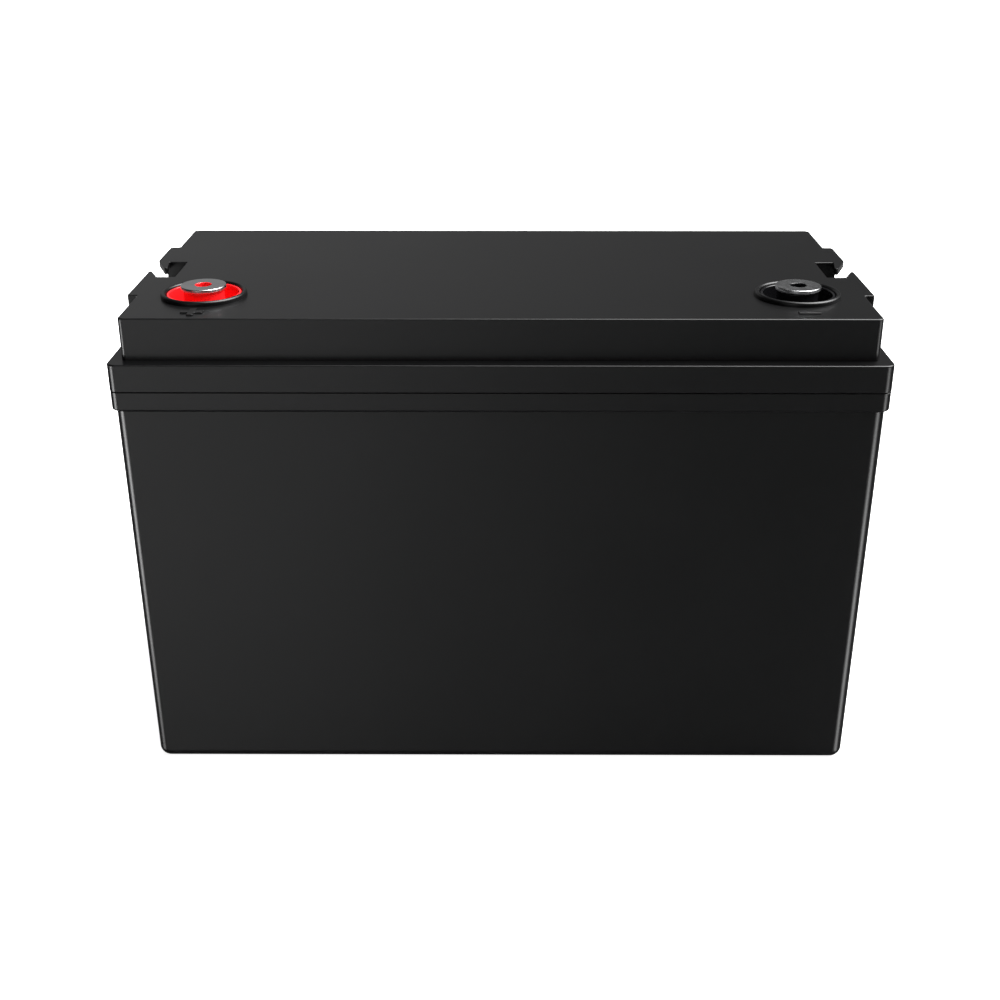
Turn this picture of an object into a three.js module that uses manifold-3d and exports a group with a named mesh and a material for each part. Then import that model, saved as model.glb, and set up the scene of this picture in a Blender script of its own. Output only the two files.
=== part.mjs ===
// Sealed lithium battery pack in a lidded plastic case, with two bolt-down terminals.
// Millimetres. X along the case, -Y is the terminal side, +Z up, origin under the middle of the case.
import * as THREE from 'three';
import { mergeVertices } from 'three/addons/utils/BufferGeometryUtils.js';
import Module from 'manifold-3d';

const wasm = await Module();
wasm.setup();

// ---------------------------------------------------------------- driving dimensions

const GAP = 0.3; // left between pieces that touch on the real pack

// Case, outside
const LENGTH = 330;
const WIDTH = 172;
const LID_TOP = 215.7;
const TERMINAL_TOP = 220.5;
const SKIRT_TOP = 197.4;
const SEAM = 185.1;
const RIM_BOTTOM = 176.6;
const RIM_WIDTH = 171.2;
const TUB = { length: 327.6, width: 168.2, footLength: 325, footWidth: 167, corner: 5.5, edge: 5 };
const PLATEAU = { length: 319.2, width: 159.6, corner: 2.5 };
const SKIRT_CORNER = 4.3;

// Case, walls
const WALL = 3;
const FLOOR = 4;
const TONGUE = { depth: 7, wall: 2 };
const BEAD = { wide: 1.2, tall: 1.2 };

// Wings at both ends of the lid, and the hooked slot in each for a strap handle
const WING = { outer: 164, front: -43.8, back: 43, plate: 3 };
const SLOT = { front: -13.3, back: 13.9, inner: 149.6, wall: 2.5 };
const LIP = { inner: 158, outer: -0.1 };
const HOOK = { root: 158.4, tip: 2.5, tipInner: 156.6, tipOuter: 158.1, outer: 17 };

// Terminals
const TERMINAL = { x: 130, y: -44 };
const RING = { inner: 16.5, outer: 18.7, tall: 2.1 };
const BOSS = { radius: 18.5, bottom: 203 };
const CUP = { radius: 16.2, wall: 1.2, top: 217, floor: 207, bottom: 201, collar: 8.9, collarTop: 218.6 };
const INSERT = { head: 9.9, headTall: 1.6, chamfer: 0.4, shank: 6, bore: 3.4, boreBottom: 200, bottom: 186 };
const ORING = { section: 0.6, z: 204.2, groove: 1.8 };
const LUG = { thick: 2.5, radius: 11, barrel: 6, barrelFrom: 20, barrelTo: 37 };
const WASHER = { radius: 12, thick: 2.5 };
const NUT = { radius: 10.4, thick: 7 };
const MARK = { y: -71, long: 9.4, wide: 2.8, tall: 0.6 };

// Cell stack
const CELL = { count: 4, thick: 36.4, wide: 130.3, tall: 195.5, corner: 3 };
const POST = { y: 35, radius: 8, tall: 4 };
const PAD_THICK = 2;
const SPACER = 1;
const BUSBAR = { thick: 2, wide: 20, corner: 3 };
const BOARD_THICK = 1;
const PLATE = { thick: 3, wide: 128, tall: 190 };
const STRAP = { thick: 0.8, tall: 12, heights: { lower: 50, upper: 150 } };
const TAKEOFF = { leg: 90, legBottom: 168, screwZ: 180 };
const SCREW = { radius: 3, head: 5.8, headTall: 4, nutTall: 5 };

// Packing foam
const FOAM = { front: 79.2, end: 158.5, tall: 125, sideTall: 170, corner: 3 };

// Management board on the outside of the right end plate
const BMS = { bottom: 24, boardTop: 126, sinkTop: 108, halfWide: 58, thick: 1.7, finTip: 99, fins: 9 };
const CONNECTOR = { deep: 6, wide: 20, tall: 9, y: 10 };

// Leads
const LEAD_RADIUS = 4.5;
const HARNESS = { trunk: 1.7, branch: 1, y: 15 };

// Heights and places that follow from them
const padTop = FLOOR + GAP + PAD_THICK;
const cellBottom = padTop + GAP;
const cellTop = cellBottom + CELL.tall;
const postTop = cellTop + GAP + POST.tall;
const busbarBottom = postTop + GAP;
const busbarTop = busbarBottom + BUSBAR.thick;
const cellPitch = CELL.thick + SPACER + 2 * GAP;
const plateInner = (cellPitch * (CELL.count - 1) + CELL.thick) / 2 + GAP;
const plateOuter = plateInner + PLATE.thick;
const strapInnerY = CELL.wide / 2 + GAP;
const strapOuterX = plateOuter + GAP + STRAP.thick;
const strapOuterY = strapInnerY + STRAP.thick;
const insertHeadBottom = TERMINAL_TOP - INSERT.headTall;
const lugTop = CUP.bottom - GAP;
const washerTop = lugTop - LUG.thick - GAP;
const nutTop = washerTop - WASHER.thick - GAP;
const lugZ = lugTop - LUG.thick / 2;
const boardX = plateOuter + GAP + STRAP.thick + 5;
const connectorBottom = BMS.boardTop - CONNECTOR.tall - 4;

// ---------------------------------------------------------------- materials

function material(color, roughness, metalness) {
  return new THREE.MeshStandardMaterial({ color, roughness, metalness });
}

const materials = {
  casePlastic: material(0x1b1b1d, 0.42, 0),
  seal: material(0x2a2a2c, 0.8, 0),
  redPlastic: material(0xe51a20, 0.25, 0),
  blackPlastic: material(0x0c0c0d, 0.25, 0),
  terminalMetal: material(0x9a9ca0, 0.3, 1),
  tinnedCopper: material(0xb9b6ae, 0.35, 1),
  zincSteel: material(0xb4b7ba, 0.38, 1),
  cellWrap: material(0x2257a5, 0.4, 0),
  aluminium: material(0xc6c8ca, 0.35, 1),
  copper: material(0xb87345, 0.3, 1),
  fibreBoard: material(0xc9bd8f, 0.6, 0),
  strapPlastic: material(0x1f8a4c, 0.45, 0),
  foam: material(0x3a3b3d, 0.95, 0),
  circuitBoard: material(0x145a34, 0.45, 0),
  connector: material(0xe9e4d4, 0.5, 0),
  redLead: material(0xc0161a, 0.45, 0),
  blackLead: material(0x151516, 0.45, 0),
  blueLead: material(0x1d4fb0, 0.45, 0),
};

// ---------------------------------------------------------------- shape helpers

function solid(geometry) {
  const bare = geometry.clone();
  bare.deleteAttribute('normal');
  bare.deleteAttribute('uv');
  const merged = mergeVertices(bare, 1e-4);
  return new wasm.Manifold(new wasm.Mesh({
    numProp: 3,
    vertProperties: Float32Array.from(merged.attributes.position.array),
    triVerts: Uint32Array.from(merged.index.array),
  }));
}

function geometryOf(body) {
  const mesh = body.getMesh();
  const geometry = new THREE.BufferGeometry();
  geometry.setAttribute('position', new THREE.BufferAttribute(mesh.vertProperties, 3));
  geometry.setIndex(new THREE.BufferAttribute(mesh.triVerts, 1));
  geometry.computeVertexNormals();
  return geometry;
}

function join(...geometries) {
  return geometries.map(solid).reduce((all, next) => all.add(next));
}

function cut(body, ...geometries) {
  return geometries.map(solid).reduce((left, tool) => left.subtract(tool), body);
}

function box(x, y, z) {
  const geometry = new THREE.BoxGeometry(x[1] - x[0], y[1] - y[0], z[1] - z[0]);
  return geometry.translate((x[0] + x[1]) / 2, (y[0] + y[1]) / 2, (z[0] + z[1]) / 2);
}

function outline(points) {
  return new THREE.Shape(points.map(([x, y]) => new THREE.Vector2(x, y)));
}

function roundedRectangle(length, width, corner) {
  const x = length / 2 - corner;
  const y = width / 2 - corner;
  const shape = new THREE.Shape();
  shape.absarc(x, -y, corner, -Math.PI / 2, 0);
  shape.absarc(x, y, corner, 0, Math.PI / 2);
  shape.absarc(-x, y, corner, Math.PI / 2, Math.PI);
  shape.absarc(-x, -y, corner, Math.PI, Math.PI * 1.5);
  shape.closePath();
  return shape;
}

// A shape in XY, standing from one height to another.
function prism(shape, bottom, top, curveSegments = 4) {
  const geometry = new THREE.ExtrudeGeometry(shape, {
    depth: top - bottom,
    bevelEnabled: false,
    curveSegments,
  });
  return geometry.translate(0, 0, bottom);
}

function slab(length, width, corner, bottom, top) {
  return prism(roundedRectangle(length, width, corner), bottom, top);
}

// Draft: full size at the top height, shrunk to footX and footY of it at height 0.
function drafted(geometry, topHeight, footX, footY) {
  const position = geometry.attributes.position;
  for (let i = 0; i < position.count; i += 1) {
    const fall = 1 - position.getZ(i) / topHeight;
    position.setX(i, position.getX(i) * (1 - (1 - footX) * fall));
    position.setY(i, position.getY(i) * (1 - (1 - footY) * fall));
  }
  return geometry;
}

// A turned piece about Z: [radius, height] points, up the outside and back down the inside.
function turned(points, segments = 24) {
  const profile = points.map(([radius, height]) => new THREE.Vector2(radius, height));
  return new THREE.LatheGeometry(profile, segments).rotateX(Math.PI / 2);
}

function disc(radius, bottom, top, segments = 24) {
  return turned([[0, bottom], [radius, bottom], [radius, top], [0, top]], segments);
}

function washer(inner, outer, bottom, top) {
  return turned([[inner, bottom], [outer, bottom], [outer, top], [inner, top], [inner, bottom]]);
}

// A round tube through hand-placed points.
function tube(points, radius, steps, sides = 8) {
  const path = new THREE.CatmullRomCurve3(points.map((point) => new THREE.Vector3(...point)));
  const section = new THREE.Shape().absarc(0, 0, radius, 0, Math.PI * 2);
  return new THREE.ExtrudeGeometry(section, {
    extrudePath: path,
    steps,
    curveSegments: sides / 2,
  });
}

function piece(name, geometry, finish, x = 0, y = 0, z = 0) {
  const mesh = new THREE.Mesh(geometry, finish);
  mesh.name = name;
  mesh.position.set(x, y, z);
  return mesh;
}

// ---------------------------------------------------------------- case

function caseTub() {
  const straight = {
    depth: SEAM - TUB.edge,
    bevelThickness: TUB.edge,
    bevelSize: TUB.edge,
    bevelOffset: -TUB.edge,
    bevelSegments: 3,
    curveSegments: 4,
  };
  const shape = roundedRectangle(TUB.length, TUB.width, TUB.corner);
  const footX = TUB.footLength / TUB.length;
  const footY = TUB.footWidth / TUB.width;
  const outer = new THREE.ExtrudeGeometry(shape, straight).translate(0, 0, TUB.edge);
  const inner = slab(TUB.length - 2 * WALL, TUB.width - 2 * WALL, TUB.corner - WALL, FLOOR, SEAM + 1);
  const rim = slab(LENGTH, RIM_WIDTH, SKIRT_CORNER, RIM_BOTTOM, SEAM);
  const rimWallX = (LENGTH - TUB.length) / 2 + WALL;
  const rimWallY = (RIM_WIDTH - TUB.width) / 2 + WALL;
  const groove = beadRing(rimWallX, rimWallY, BEAD.wide + 2 * GAP, SEAM - BEAD.tall - GAP, SEAM + 1);
  const blank = solid(drafted(outer, SEAM, footX, footY))
    .subtract(solid(box([-LENGTH, LENGTH], [-WIDTH, WIDTH], [SEAM, SEAM + 20])))
    .add(solid(rim))
    .subtract(solid(drafted(inner, SEAM, footX, footY)))
    .subtract(groove);
  return piece('case_tub', geometryOf(blank), materials.casePlastic);
}

// A rectangular ring that runs in the middle of the tub's rim.
function beadRing(rimWallX, rimWallY, wide, bottom, top) {
  const outer = slab(LENGTH - rimWallX + wide, RIM_WIDTH - rimWallY + wide, 3, bottom, top);
  const inner = slab(LENGTH - rimWallX - wide, RIM_WIDTH - rimWallY - wide, 2.4, bottom - 1, top + 1);
  return solid(outer).subtract(solid(inner));
}

function lidSeal() {
  const rimWallX = (LENGTH - TUB.length) / 2 + WALL;
  const rimWallY = (RIM_WIDTH - TUB.width) / 2 + WALL;
  const ring = beadRing(rimWallX, rimWallY, BEAD.wide, SEAM - BEAD.tall, SEAM);
  return piece('lid_seal', geometryOf(ring), materials.seal);
}

// What the strap slot takes out of the right-hand wing's plate, seen from above.
function slotMouth() {
  const past = 2;
  const lipSlope = (LIP.outer - SLOT.front) / (WING.outer - LIP.inner);
  const hookSlope = (HOOK.outer - HOOK.tip) / (WING.outer - HOOK.tipOuter);
  return outline([
    [SLOT.inner, SLOT.front],
    [LIP.inner, SLOT.front],
    [WING.outer + past, LIP.outer + lipSlope * past],
    [WING.outer + past, HOOK.outer + hookSlope * past],
    [HOOK.tipOuter, HOOK.tip],
    [HOOK.tipInner, HOOK.tip],
    [HOOK.root, SLOT.back],
    [SLOT.inner, SLOT.back],
  ]);
}

// The wing at the right-hand end: a plate level with the lid's top, on a wall at each end.
function wingAdditions() {
  const across = [PLATEAU.length / 2 - WALL, WING.outer];
  const plate = box(across, [WING.front, WING.back], [LID_TOP - WING.plate, LID_TOP]);
  const frontWall = box(across, [WING.front, WING.front + WALL], [SKIRT_TOP - 1, LID_TOP]);
  const backWall = box(across, [WING.back - WALL, WING.back], [SKIRT_TOP - 1, LID_TOP]);
  return join(plate, frontWall, backWall);
}

function slotCuts() {
  const under = box(
    [SLOT.inner, WING.outer + 2],
    [SLOT.front, SLOT.back],
    [SKIRT_TOP, LID_TOP - WING.plate],
  );
  return join(under, prism(slotMouth(), LID_TOP - WING.plate - 0.01, LID_TOP + 1));
}

function slotWalls() {
  return box(
    [SLOT.inner - SLOT.wall, PLATEAU.length / 2],
    [SLOT.front - SLOT.wall, SLOT.back + SLOT.wall],
    [SKIRT_TOP - WALL, LID_TOP - 1],
  );
}

function mirrored(body) {
  return body.mirror([1, 0, 0]);
}

function bothEnds(body) {
  return body.add(mirrored(body));
}

function polarityMark(side) {
  const x = side * TERMINAL.x;
  const z = [LID_TOP - 1, LID_TOP + MARK.tall];
  const halfLong = MARK.long / 2;
  const halfWide = MARK.wide / 2;
  const bar = solid(box([x - halfLong, x + halfLong], [MARK.y - halfWide, MARK.y + halfWide], z));
  if (side > 0) {
    return bar;
  }
  return bar.add(solid(box([x - halfWide, x + halfWide], [MARK.y - halfLong, MARK.y + halfLong], z)));
}

function caseLid() {
  const skirt = slab(LENGTH, WIDTH, SKIRT_CORNER, SEAM + GAP, SKIRT_TOP);
  const plateau = slab(PLATEAU.length, PLATEAU.width, PLATEAU.corner, SKIRT_TOP - 1, LID_TOP);
  const tongueLength = TUB.length - 2 * WALL - 2 * GAP - 0.2;
  const tongueWidth = TUB.width - 2 * WALL - 2 * GAP - 0.2;
  const tongue = slab(tongueLength, tongueWidth, 2, SEAM - TONGUE.depth, SEAM + 1);
  const hollowLow = slab(
    tongueLength - 2 * TONGUE.wall,
    tongueWidth - 2 * TONGUE.wall,
    1.5,
    SEAM - TONGUE.depth - 1,
    SEAM + WALL,
  );
  const hollowSkirt = slab(LENGTH - 2 * WALL, WIDTH - 2 * WALL, 2, SEAM + WALL, SKIRT_TOP - WALL);
  const hollowPlateau = slab(
    PLATEAU.length - 2 * WALL,
    PLATEAU.width - 2 * WALL,
    1.5,
    SEAM + WALL,
    LID_TOP - WALL,
  );
  const sideSlotWalls = bothEnds(solid(slotWalls()));
  const hollow = join(hollowSkirt, hollowPlateau).subtract(sideSlotWalls).add(solid(hollowLow));
  let lid = join(skirt, plateau, tongue).subtract(hollow).add(bothEnds(wingAdditions()));
  lid = lid.subtract(bothEnds(slotCuts()));
  for (const side of [-1, 1]) {
    const at = (geometry) => solid(geometry.translate(side * TERMINAL.x, TERMINAL.y, 0));
    lid = lid.add(at(disc(BOSS.radius, BOSS.bottom, LID_TOP - 1)));
    lid = lid.add(at(ringBlank()));
    lid = lid.subtract(at(disc(RING.inner, BOSS.bottom - 1, TERMINAL_TOP)));
    lid = lid.add(polarityMark(side));
  }
  return piece('case_lid', geometryOf(lid), materials.casePlastic);
}

// The raised ring round a terminal well, with a rounded top.
function ringBlank() {
  const half = (RING.outer - RING.inner) / 2;
  const middle = (RING.outer + RING.inner) / 2;
  const straight = LID_TOP + RING.tall - half;
  const points = [[0, LID_TOP - 1], [RING.outer, LID_TOP - 1]];
  for (let i = 0; i <= 4; i += 1) {
    const turn = (Math.PI * i) / 4;
    points.push([middle + half * Math.cos(turn), straight + half * Math.sin(turn)]);
  }
  points.push([0, straight]);
  return turned(points);
}

// ---------------------------------------------------------------- terminals

function terminalCup() {
  const inner = CUP.radius - CUP.wall;
  const grooveBottom = ORING.z - ORING.groove / 2;
  const grooveTop = ORING.z + ORING.groove / 2;
  const grooveRadius = CUP.radius - 2 * ORING.section - GAP;
  const bore = INSERT.shank + GAP;
  return turned([
    [bore, CUP.bottom],
    [CUP.radius, CUP.bottom],
    [CUP.radius, grooveBottom],
    [grooveRadius, grooveBottom],
    [grooveRadius, grooveTop],
    [CUP.radius, grooveTop],
    [CUP.radius, CUP.top],
    [inner, CUP.top],
    [inner, CUP.floor],
    [CUP.collar, CUP.floor],
    [CUP.collar, CUP.collarTop],
    [bore, CUP.collarTop],
    [bore, CUP.bottom],
  ]);
}

function terminalInsert() {
  return turned([
    [0, INSERT.bottom],
    [INSERT.shank, INSERT.bottom],
    [INSERT.shank, insertHeadBottom],
    [INSERT.head, insertHeadBottom],
    [INSERT.head, TERMINAL_TOP - INSERT.chamfer],
    [INSERT.head - INSERT.chamfer, TERMINAL_TOP],
    [INSERT.bore, TERMINAL_TOP],
    [INSERT.bore, INSERT.boreBottom],
    [0, INSERT.boreBottom],
  ]);
}

function terminalSeal() {
  const middle = CUP.radius - ORING.section;
  const points = [];
  for (let i = 0; i <= 8; i += 1) {
    const turn = (Math.PI * 2 * i) / 8;
    points.push([middle + ORING.section * Math.cos(turn), ORING.z + ORING.section * Math.sin(turn)]);
  }
  points[8] = points[0];
  return turned(points);
}

// A ring lug: a tongue round the stud and a crimped barrel pointing along +Y.
function terminalLug() {
  const z = [lugTop - LUG.thick, lugTop];
  const halfTongue = LUG.barrel + 1;
  const barrel = new THREE.CylinderGeometry(LUG.barrel, LUG.barrel, LUG.barrelTo - LUG.barrelFrom, 16);
  barrel.translate(0, (LUG.barrelFrom + LUG.barrelTo) / 2, lugZ);
  const body = join(
    disc(LUG.radius, z[0], z[1]),
    box([-halfTongue, halfTongue], [0, LUG.barrelFrom + 2], z),
    barrel,
  );
  return geometryOf(cut(body, disc(INSERT.shank + GAP, z[0] - 1, z[1] + 1)));
}

function hexNut(radius, bore, bottom, top) {
  const body = solid(disc(radius, bottom, top, 6));
  return geometryOf(cut(body, disc(bore, bottom - 1, top + 1)));
}

function terminal(name, side, cupFinish) {
  const group = new THREE.Group();
  group.position.set(side * TERMINAL.x, TERMINAL.y, 0);
  const bore = INSERT.shank + GAP;
  const washerRing = washer(bore, WASHER.radius, washerTop - WASHER.thick, washerTop);
  const nut = hexNut(NUT.radius, bore, nutTop - NUT.thick, nutTop);
  group.add(piece(`${name}_terminal_cup`, terminalCup(), cupFinish));
  group.add(piece(`${name}_terminal_insert`, terminalInsert(), materials.terminalMetal));
  group.add(piece(`${name}_terminal_seal`, terminalSeal(), materials.seal));
  group.add(piece(`${name}_terminal_lug`, terminalLug(), materials.tinnedCopper));
  group.add(piece(`${name}_terminal_washer`, washerRing, materials.zincSteel));
  group.add(piece(`${name}_terminal_nut`, nut, materials.zincSteel));
  return group;
}

// ---------------------------------------------------------------- cell stack

function cellX(index) {
  return (index - (CELL.count - 1) / 2) * cellPitch;
}

// Odd cells have their positive post towards -Y, even ones towards +Y.
function positiveSide(index) {
  return index % 2 === 0 ? -1 : 1;
}

function cells() {
  const group = new THREE.Group();
  for (let i = 0; i < CELL.count; i += 1) {
    const x = cellX(i);
    const body = slab(CELL.thick, CELL.wide, CELL.corner, cellBottom, cellTop);
    const post = disc(POST.radius, cellTop + GAP, postTop, 20);
    const side = positiveSide(i);
    group.add(piece(`cell_${i + 1}`, body, materials.cellWrap, x));
    group.add(piece(`cell_${i + 1}_positive_post`, post, materials.aluminium, x, side * POST.y));
    group.add(piece(`cell_${i + 1}_negative_post`, post, materials.copper, x, -side * POST.y));
  }
  return group;
}

function spacers() {
  const group = new THREE.Group();
  const sheet = box([-SPACER / 2, SPACER / 2], [-CELL.wide / 2, CELL.wide / 2], [cellBottom, cellTop]);
  for (let i = 1; i < CELL.count; i += 1) {
    group.add(piece(`cell_spacer_${i}`, sheet, materials.fibreBoard, cellX(i) - cellPitch / 2));
  }
  return group;
}

// A series busbar bridges the negative post of one cell and the positive post of the next.
function busbars() {
  const group = new THREE.Group();
  const bar = slab(cellPitch + BUSBAR.wide, BUSBAR.wide, BUSBAR.corner, busbarBottom, busbarTop);
  for (let i = 1; i < CELL.count; i += 1) {
    const x = cellX(i) - cellPitch / 2;
    const y = -positiveSide(i - 1) * POST.y;
    group.add(piece(`busbar_${i}_${i + 1}`, bar, materials.copper, x, y));
  }
  return group;
}

// A take-off bar lies on an end post and turns down outside the end plate.
function takeoffBar() {
  const inner = cellX(CELL.count - 1) - BUSBAR.wide / 2;
  const y = [-BUSBAR.wide / 2, BUSBAR.wide / 2];
  const flat = box([inner, TAKEOFF.leg + BUSBAR.thick], y, [busbarBottom, busbarTop]);
  const leg = box([TAKEOFF.leg, TAKEOFF.leg + BUSBAR.thick], y, [TAKEOFF.legBottom, busbarTop]);
  return cut(join(flat, leg), crossHole(SCREW.radius + GAP, 60, 120));
}

// A hole along X at the take-off screw's height.
function crossHole(radius, from, to) {
  const rod = new THREE.CylinderGeometry(radius, radius, to - from, 20).rotateZ(Math.PI / 2);
  return rod.translate((from + to) / 2, 0, TAKEOFF.screwZ);
}

function takeoffLug() {
  const inner = TAKEOFF.leg + BUSBAR.thick + GAP;
  const x = [inner, inner + LUG.thick];
  const tongue = box(x, [-8, 8], [TAKEOFF.legBottom - 3, TAKEOFF.screwZ + 9]);
  const barrelX = inner + LUG.barrel - 2;
  const barrel = disc(LUG.barrel, TAKEOFF.legBottom - 20, TAKEOFF.legBottom - 1, 16);
  return cut(join(tongue, barrel.translate(barrelX, 0, 0)), crossHole(SCREW.radius + GAP, 60, 120));
}

function takeoffScrew() {
  const headFrom = TAKEOFF.leg + BUSBAR.thick + LUG.thick + 2 * GAP;
  const shankTo = TAKEOFF.leg - GAP - SCREW.nutTall - 1;
  const head = new THREE.CylinderGeometry(SCREW.head, SCREW.head, SCREW.headTall, 6).rotateZ(Math.PI / 2);
  head.translate(headFrom + SCREW.headTall / 2, 0, TAKEOFF.screwZ);
  return join(head, crossHole(SCREW.radius, shankTo, headFrom + 1));
}

function takeoffNut() {
  const to = TAKEOFF.leg - GAP;
  const from = to - SCREW.nutTall;
  const hex = new THREE.CylinderGeometry(SCREW.head, SCREW.head, SCREW.nutTall, 6).rotateZ(Math.PI / 2);
  hex.translate((from + to) / 2, 0, TAKEOFF.screwZ);
  return cut(solid(hex), crossHole(SCREW.radius + GAP, from - 1, to + 1));
}

function takeoff(name, side) {
  const group = new THREE.Group();
  const end = (body) => geometryOf(side > 0 ? body : mirrored(body));
  group.position.set(0, -POST.y, 0);
  group.add(piece(`${name}_takeoff_bar`, end(takeoffBar()), materials.copper));
  group.add(piece(`${name}_takeoff_lug`, end(takeoffLug()), materials.tinnedCopper));
  group.add(piece(`${name}_takeoff_screw`, end(takeoffScrew()), materials.zincSteel));
  group.add(piece(`${name}_takeoff_nut`, end(takeoffNut()), materials.zincSteel));
  return group;
}

function endPlate() {
  const z = [cellBottom, cellBottom + PLATE.tall];
  return box([-PLATE.thick / 2, PLATE.thick / 2], [-PLATE.wide / 2, PLATE.wide / 2], z);
}

function stackStrap() {
  const inner = roundedRectangle(2 * (strapOuterX - STRAP.thick), 2 * strapInnerY, 0.6);
  const outer = roundedRectangle(2 * strapOuterX, 2 * strapOuterY, 1.4);
  outer.holes.push(inner);
  return prism(outer, -STRAP.tall / 2, STRAP.tall / 2, 2);
}

function stackFrame() {
  const group = new THREE.Group();
  const plateX = plateInner + PLATE.thick / 2;
  group.add(piece('end_plate_left', endPlate(), materials.fibreBoard, -plateX));
  group.add(piece('end_plate_right', endPlate(), materials.fibreBoard, plateX));
  for (const [place, height] of Object.entries(STRAP.heights)) {
    group.add(piece(`stack_strap_${place}`, stackStrap(), materials.strapPlastic, 0, 0, height));
  }
  const overStack = { x: [-plateOuter, plateOuter], y: [-CELL.wide / 2, CELL.wide / 2] };
  const floorPad = box(overStack.x, overStack.y, [FLOOR + GAP, padTop]);
  const boardBottom = busbarTop + GAP;
  const topBoard = box(overStack.x, overStack.y, [boardBottom, boardBottom + BOARD_THICK]);
  group.add(piece('floor_pad', floorPad, materials.foam));
  group.add(piece('busbar_cover_board', topBoard, materials.fibreBoard));
  return group;
}

// ---------------------------------------------------------------- packing foam

function foamPackers() {
  const group = new THREE.Group();
  const bottom = FLOOR + GAP;
  const innerY = strapOuterY + GAP;
  const side = box([-strapOuterX, strapOuterX], [innerY, FOAM.front], [bottom, FOAM.sideTall]);
  const endBlock = (inner) => {
    const block = slab(FOAM.end - inner, 2 * FOAM.front, FOAM.corner, bottom, FOAM.tall);
    return block.translate((FOAM.end + inner) / 2, 0, 0);
  };
  const left = endBlock(strapOuterX + GAP).rotateZ(Math.PI);
  const right = endBlock(BMS.finTip + 3);
  group.add(piece('foam_back', side, materials.foam));
  group.add(piece('foam_front', side.clone().rotateZ(Math.PI), materials.foam));
  group.add(piece('foam_left', left, materials.foam));
  group.add(piece('foam_right', right, materials.foam));
  return group;
}

// ---------------------------------------------------------------- battery management board

function heatSink() {
  const base = boardX + BMS.thick + GAP;
  const z = [BMS.bottom, BMS.sinkTop];
  const halfWide = BMS.halfWide - 2;
  const pitch = (2 * halfWide - 3) / (BMS.fins - 1);
  const plate = box([base, base + 3], [-halfWide, halfWide], z);
  let sink = solid(plate);
  for (let i = 0; i < BMS.fins; i += 1) {
    const y = -halfWide + i * pitch;
    sink = sink.add(solid(box([base + 2, BMS.finTip], [y, y + 3], z)));
  }
  return geometryOf(sink);
}

function managementBoard() {
  const group = new THREE.Group();
  const y = [-BMS.halfWide, BMS.halfWide];
  const board = box([boardX, boardX + BMS.thick], y, [BMS.bottom, BMS.boardTop]);
  const pad = box([strapOuterX + GAP, boardX - GAP], [-50, 50], [BMS.bottom, BMS.sinkTop]);
  const face = boardX + BMS.thick + GAP;
  const housing = box(
    [face, face + CONNECTOR.deep],
    [CONNECTOR.y - CONNECTOR.wide / 2, CONNECTOR.y + CONNECTOR.wide / 2],
    [connectorBottom, connectorBottom + CONNECTOR.tall],
  );
  group.add(piece('bms_board', board, materials.circuitBoard));
  group.add(piece('bms_heat_sink', heatSink(), materials.aluminium));
  group.add(piece('bms_backing_pad', pad, materials.foam));
  group.add(piece('balance_connector', housing, materials.connector));
  return group;
}

// ---------------------------------------------------------------- leads

// The balance harness: a trunk over the cells and a branch to each bar.
function balanceHarness() {
  const trunkZ = cellTop + GAP + HARNESS.trunk + 0.2;
  const start = boardX + BMS.thick + GAP + CONNECTOR.deep / 2;
  const trunk = tube([
    [start, CONNECTOR.y, connectorBottom + CONNECTOR.tall + GAP],
    [start, CONNECTOR.y, 140],
    [start, HARNESS.y - 2, 170],
    [start - 2, HARNESS.y, 192],
    [80, HARNESS.y, trunkZ],
    [60, HARNESS.y, trunkZ],
    [0, HARNESS.y, trunkZ],
    [-60, HARNESS.y, trunkZ],
  ], HARNESS.trunk, 20);
  let harness = solid(trunk);
  const barEdge = POST.y - BUSBAR.wide / 2 - GAP;
  const barZ = busbarBottom + BUSBAR.thick / 2;
  const ends = [[cellX(0), -1], [cellX(CELL.count - 1), -1]];
  for (let i = 1; i < CELL.count; i += 1) {
    ends.push([cellX(i - 1), -positiveSide(i - 1)]);
  }
  for (const [x, side] of ends) {
    const branch = tube([
      [x, HARNESS.y, trunkZ],
      [x, HARNESS.y + side * 4, trunkZ + 0.4],
      [x, side * (barEdge - 4), barZ],
      [x, side * barEdge, barZ],
    ], HARNESS.branch, 3);
    harness = harness.add(solid(branch));
  }
  return piece('balance_harness', geometryOf(harness), materials.blackLead);
}

function temperatureProbe() {
  const probe = new THREE.CylinderGeometry(2, 2, 9, 12);
  const x = cellX(2);
  return piece('temperature_probe', probe, materials.connector, x, -8, cellTop + GAP + 2);
}

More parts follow.
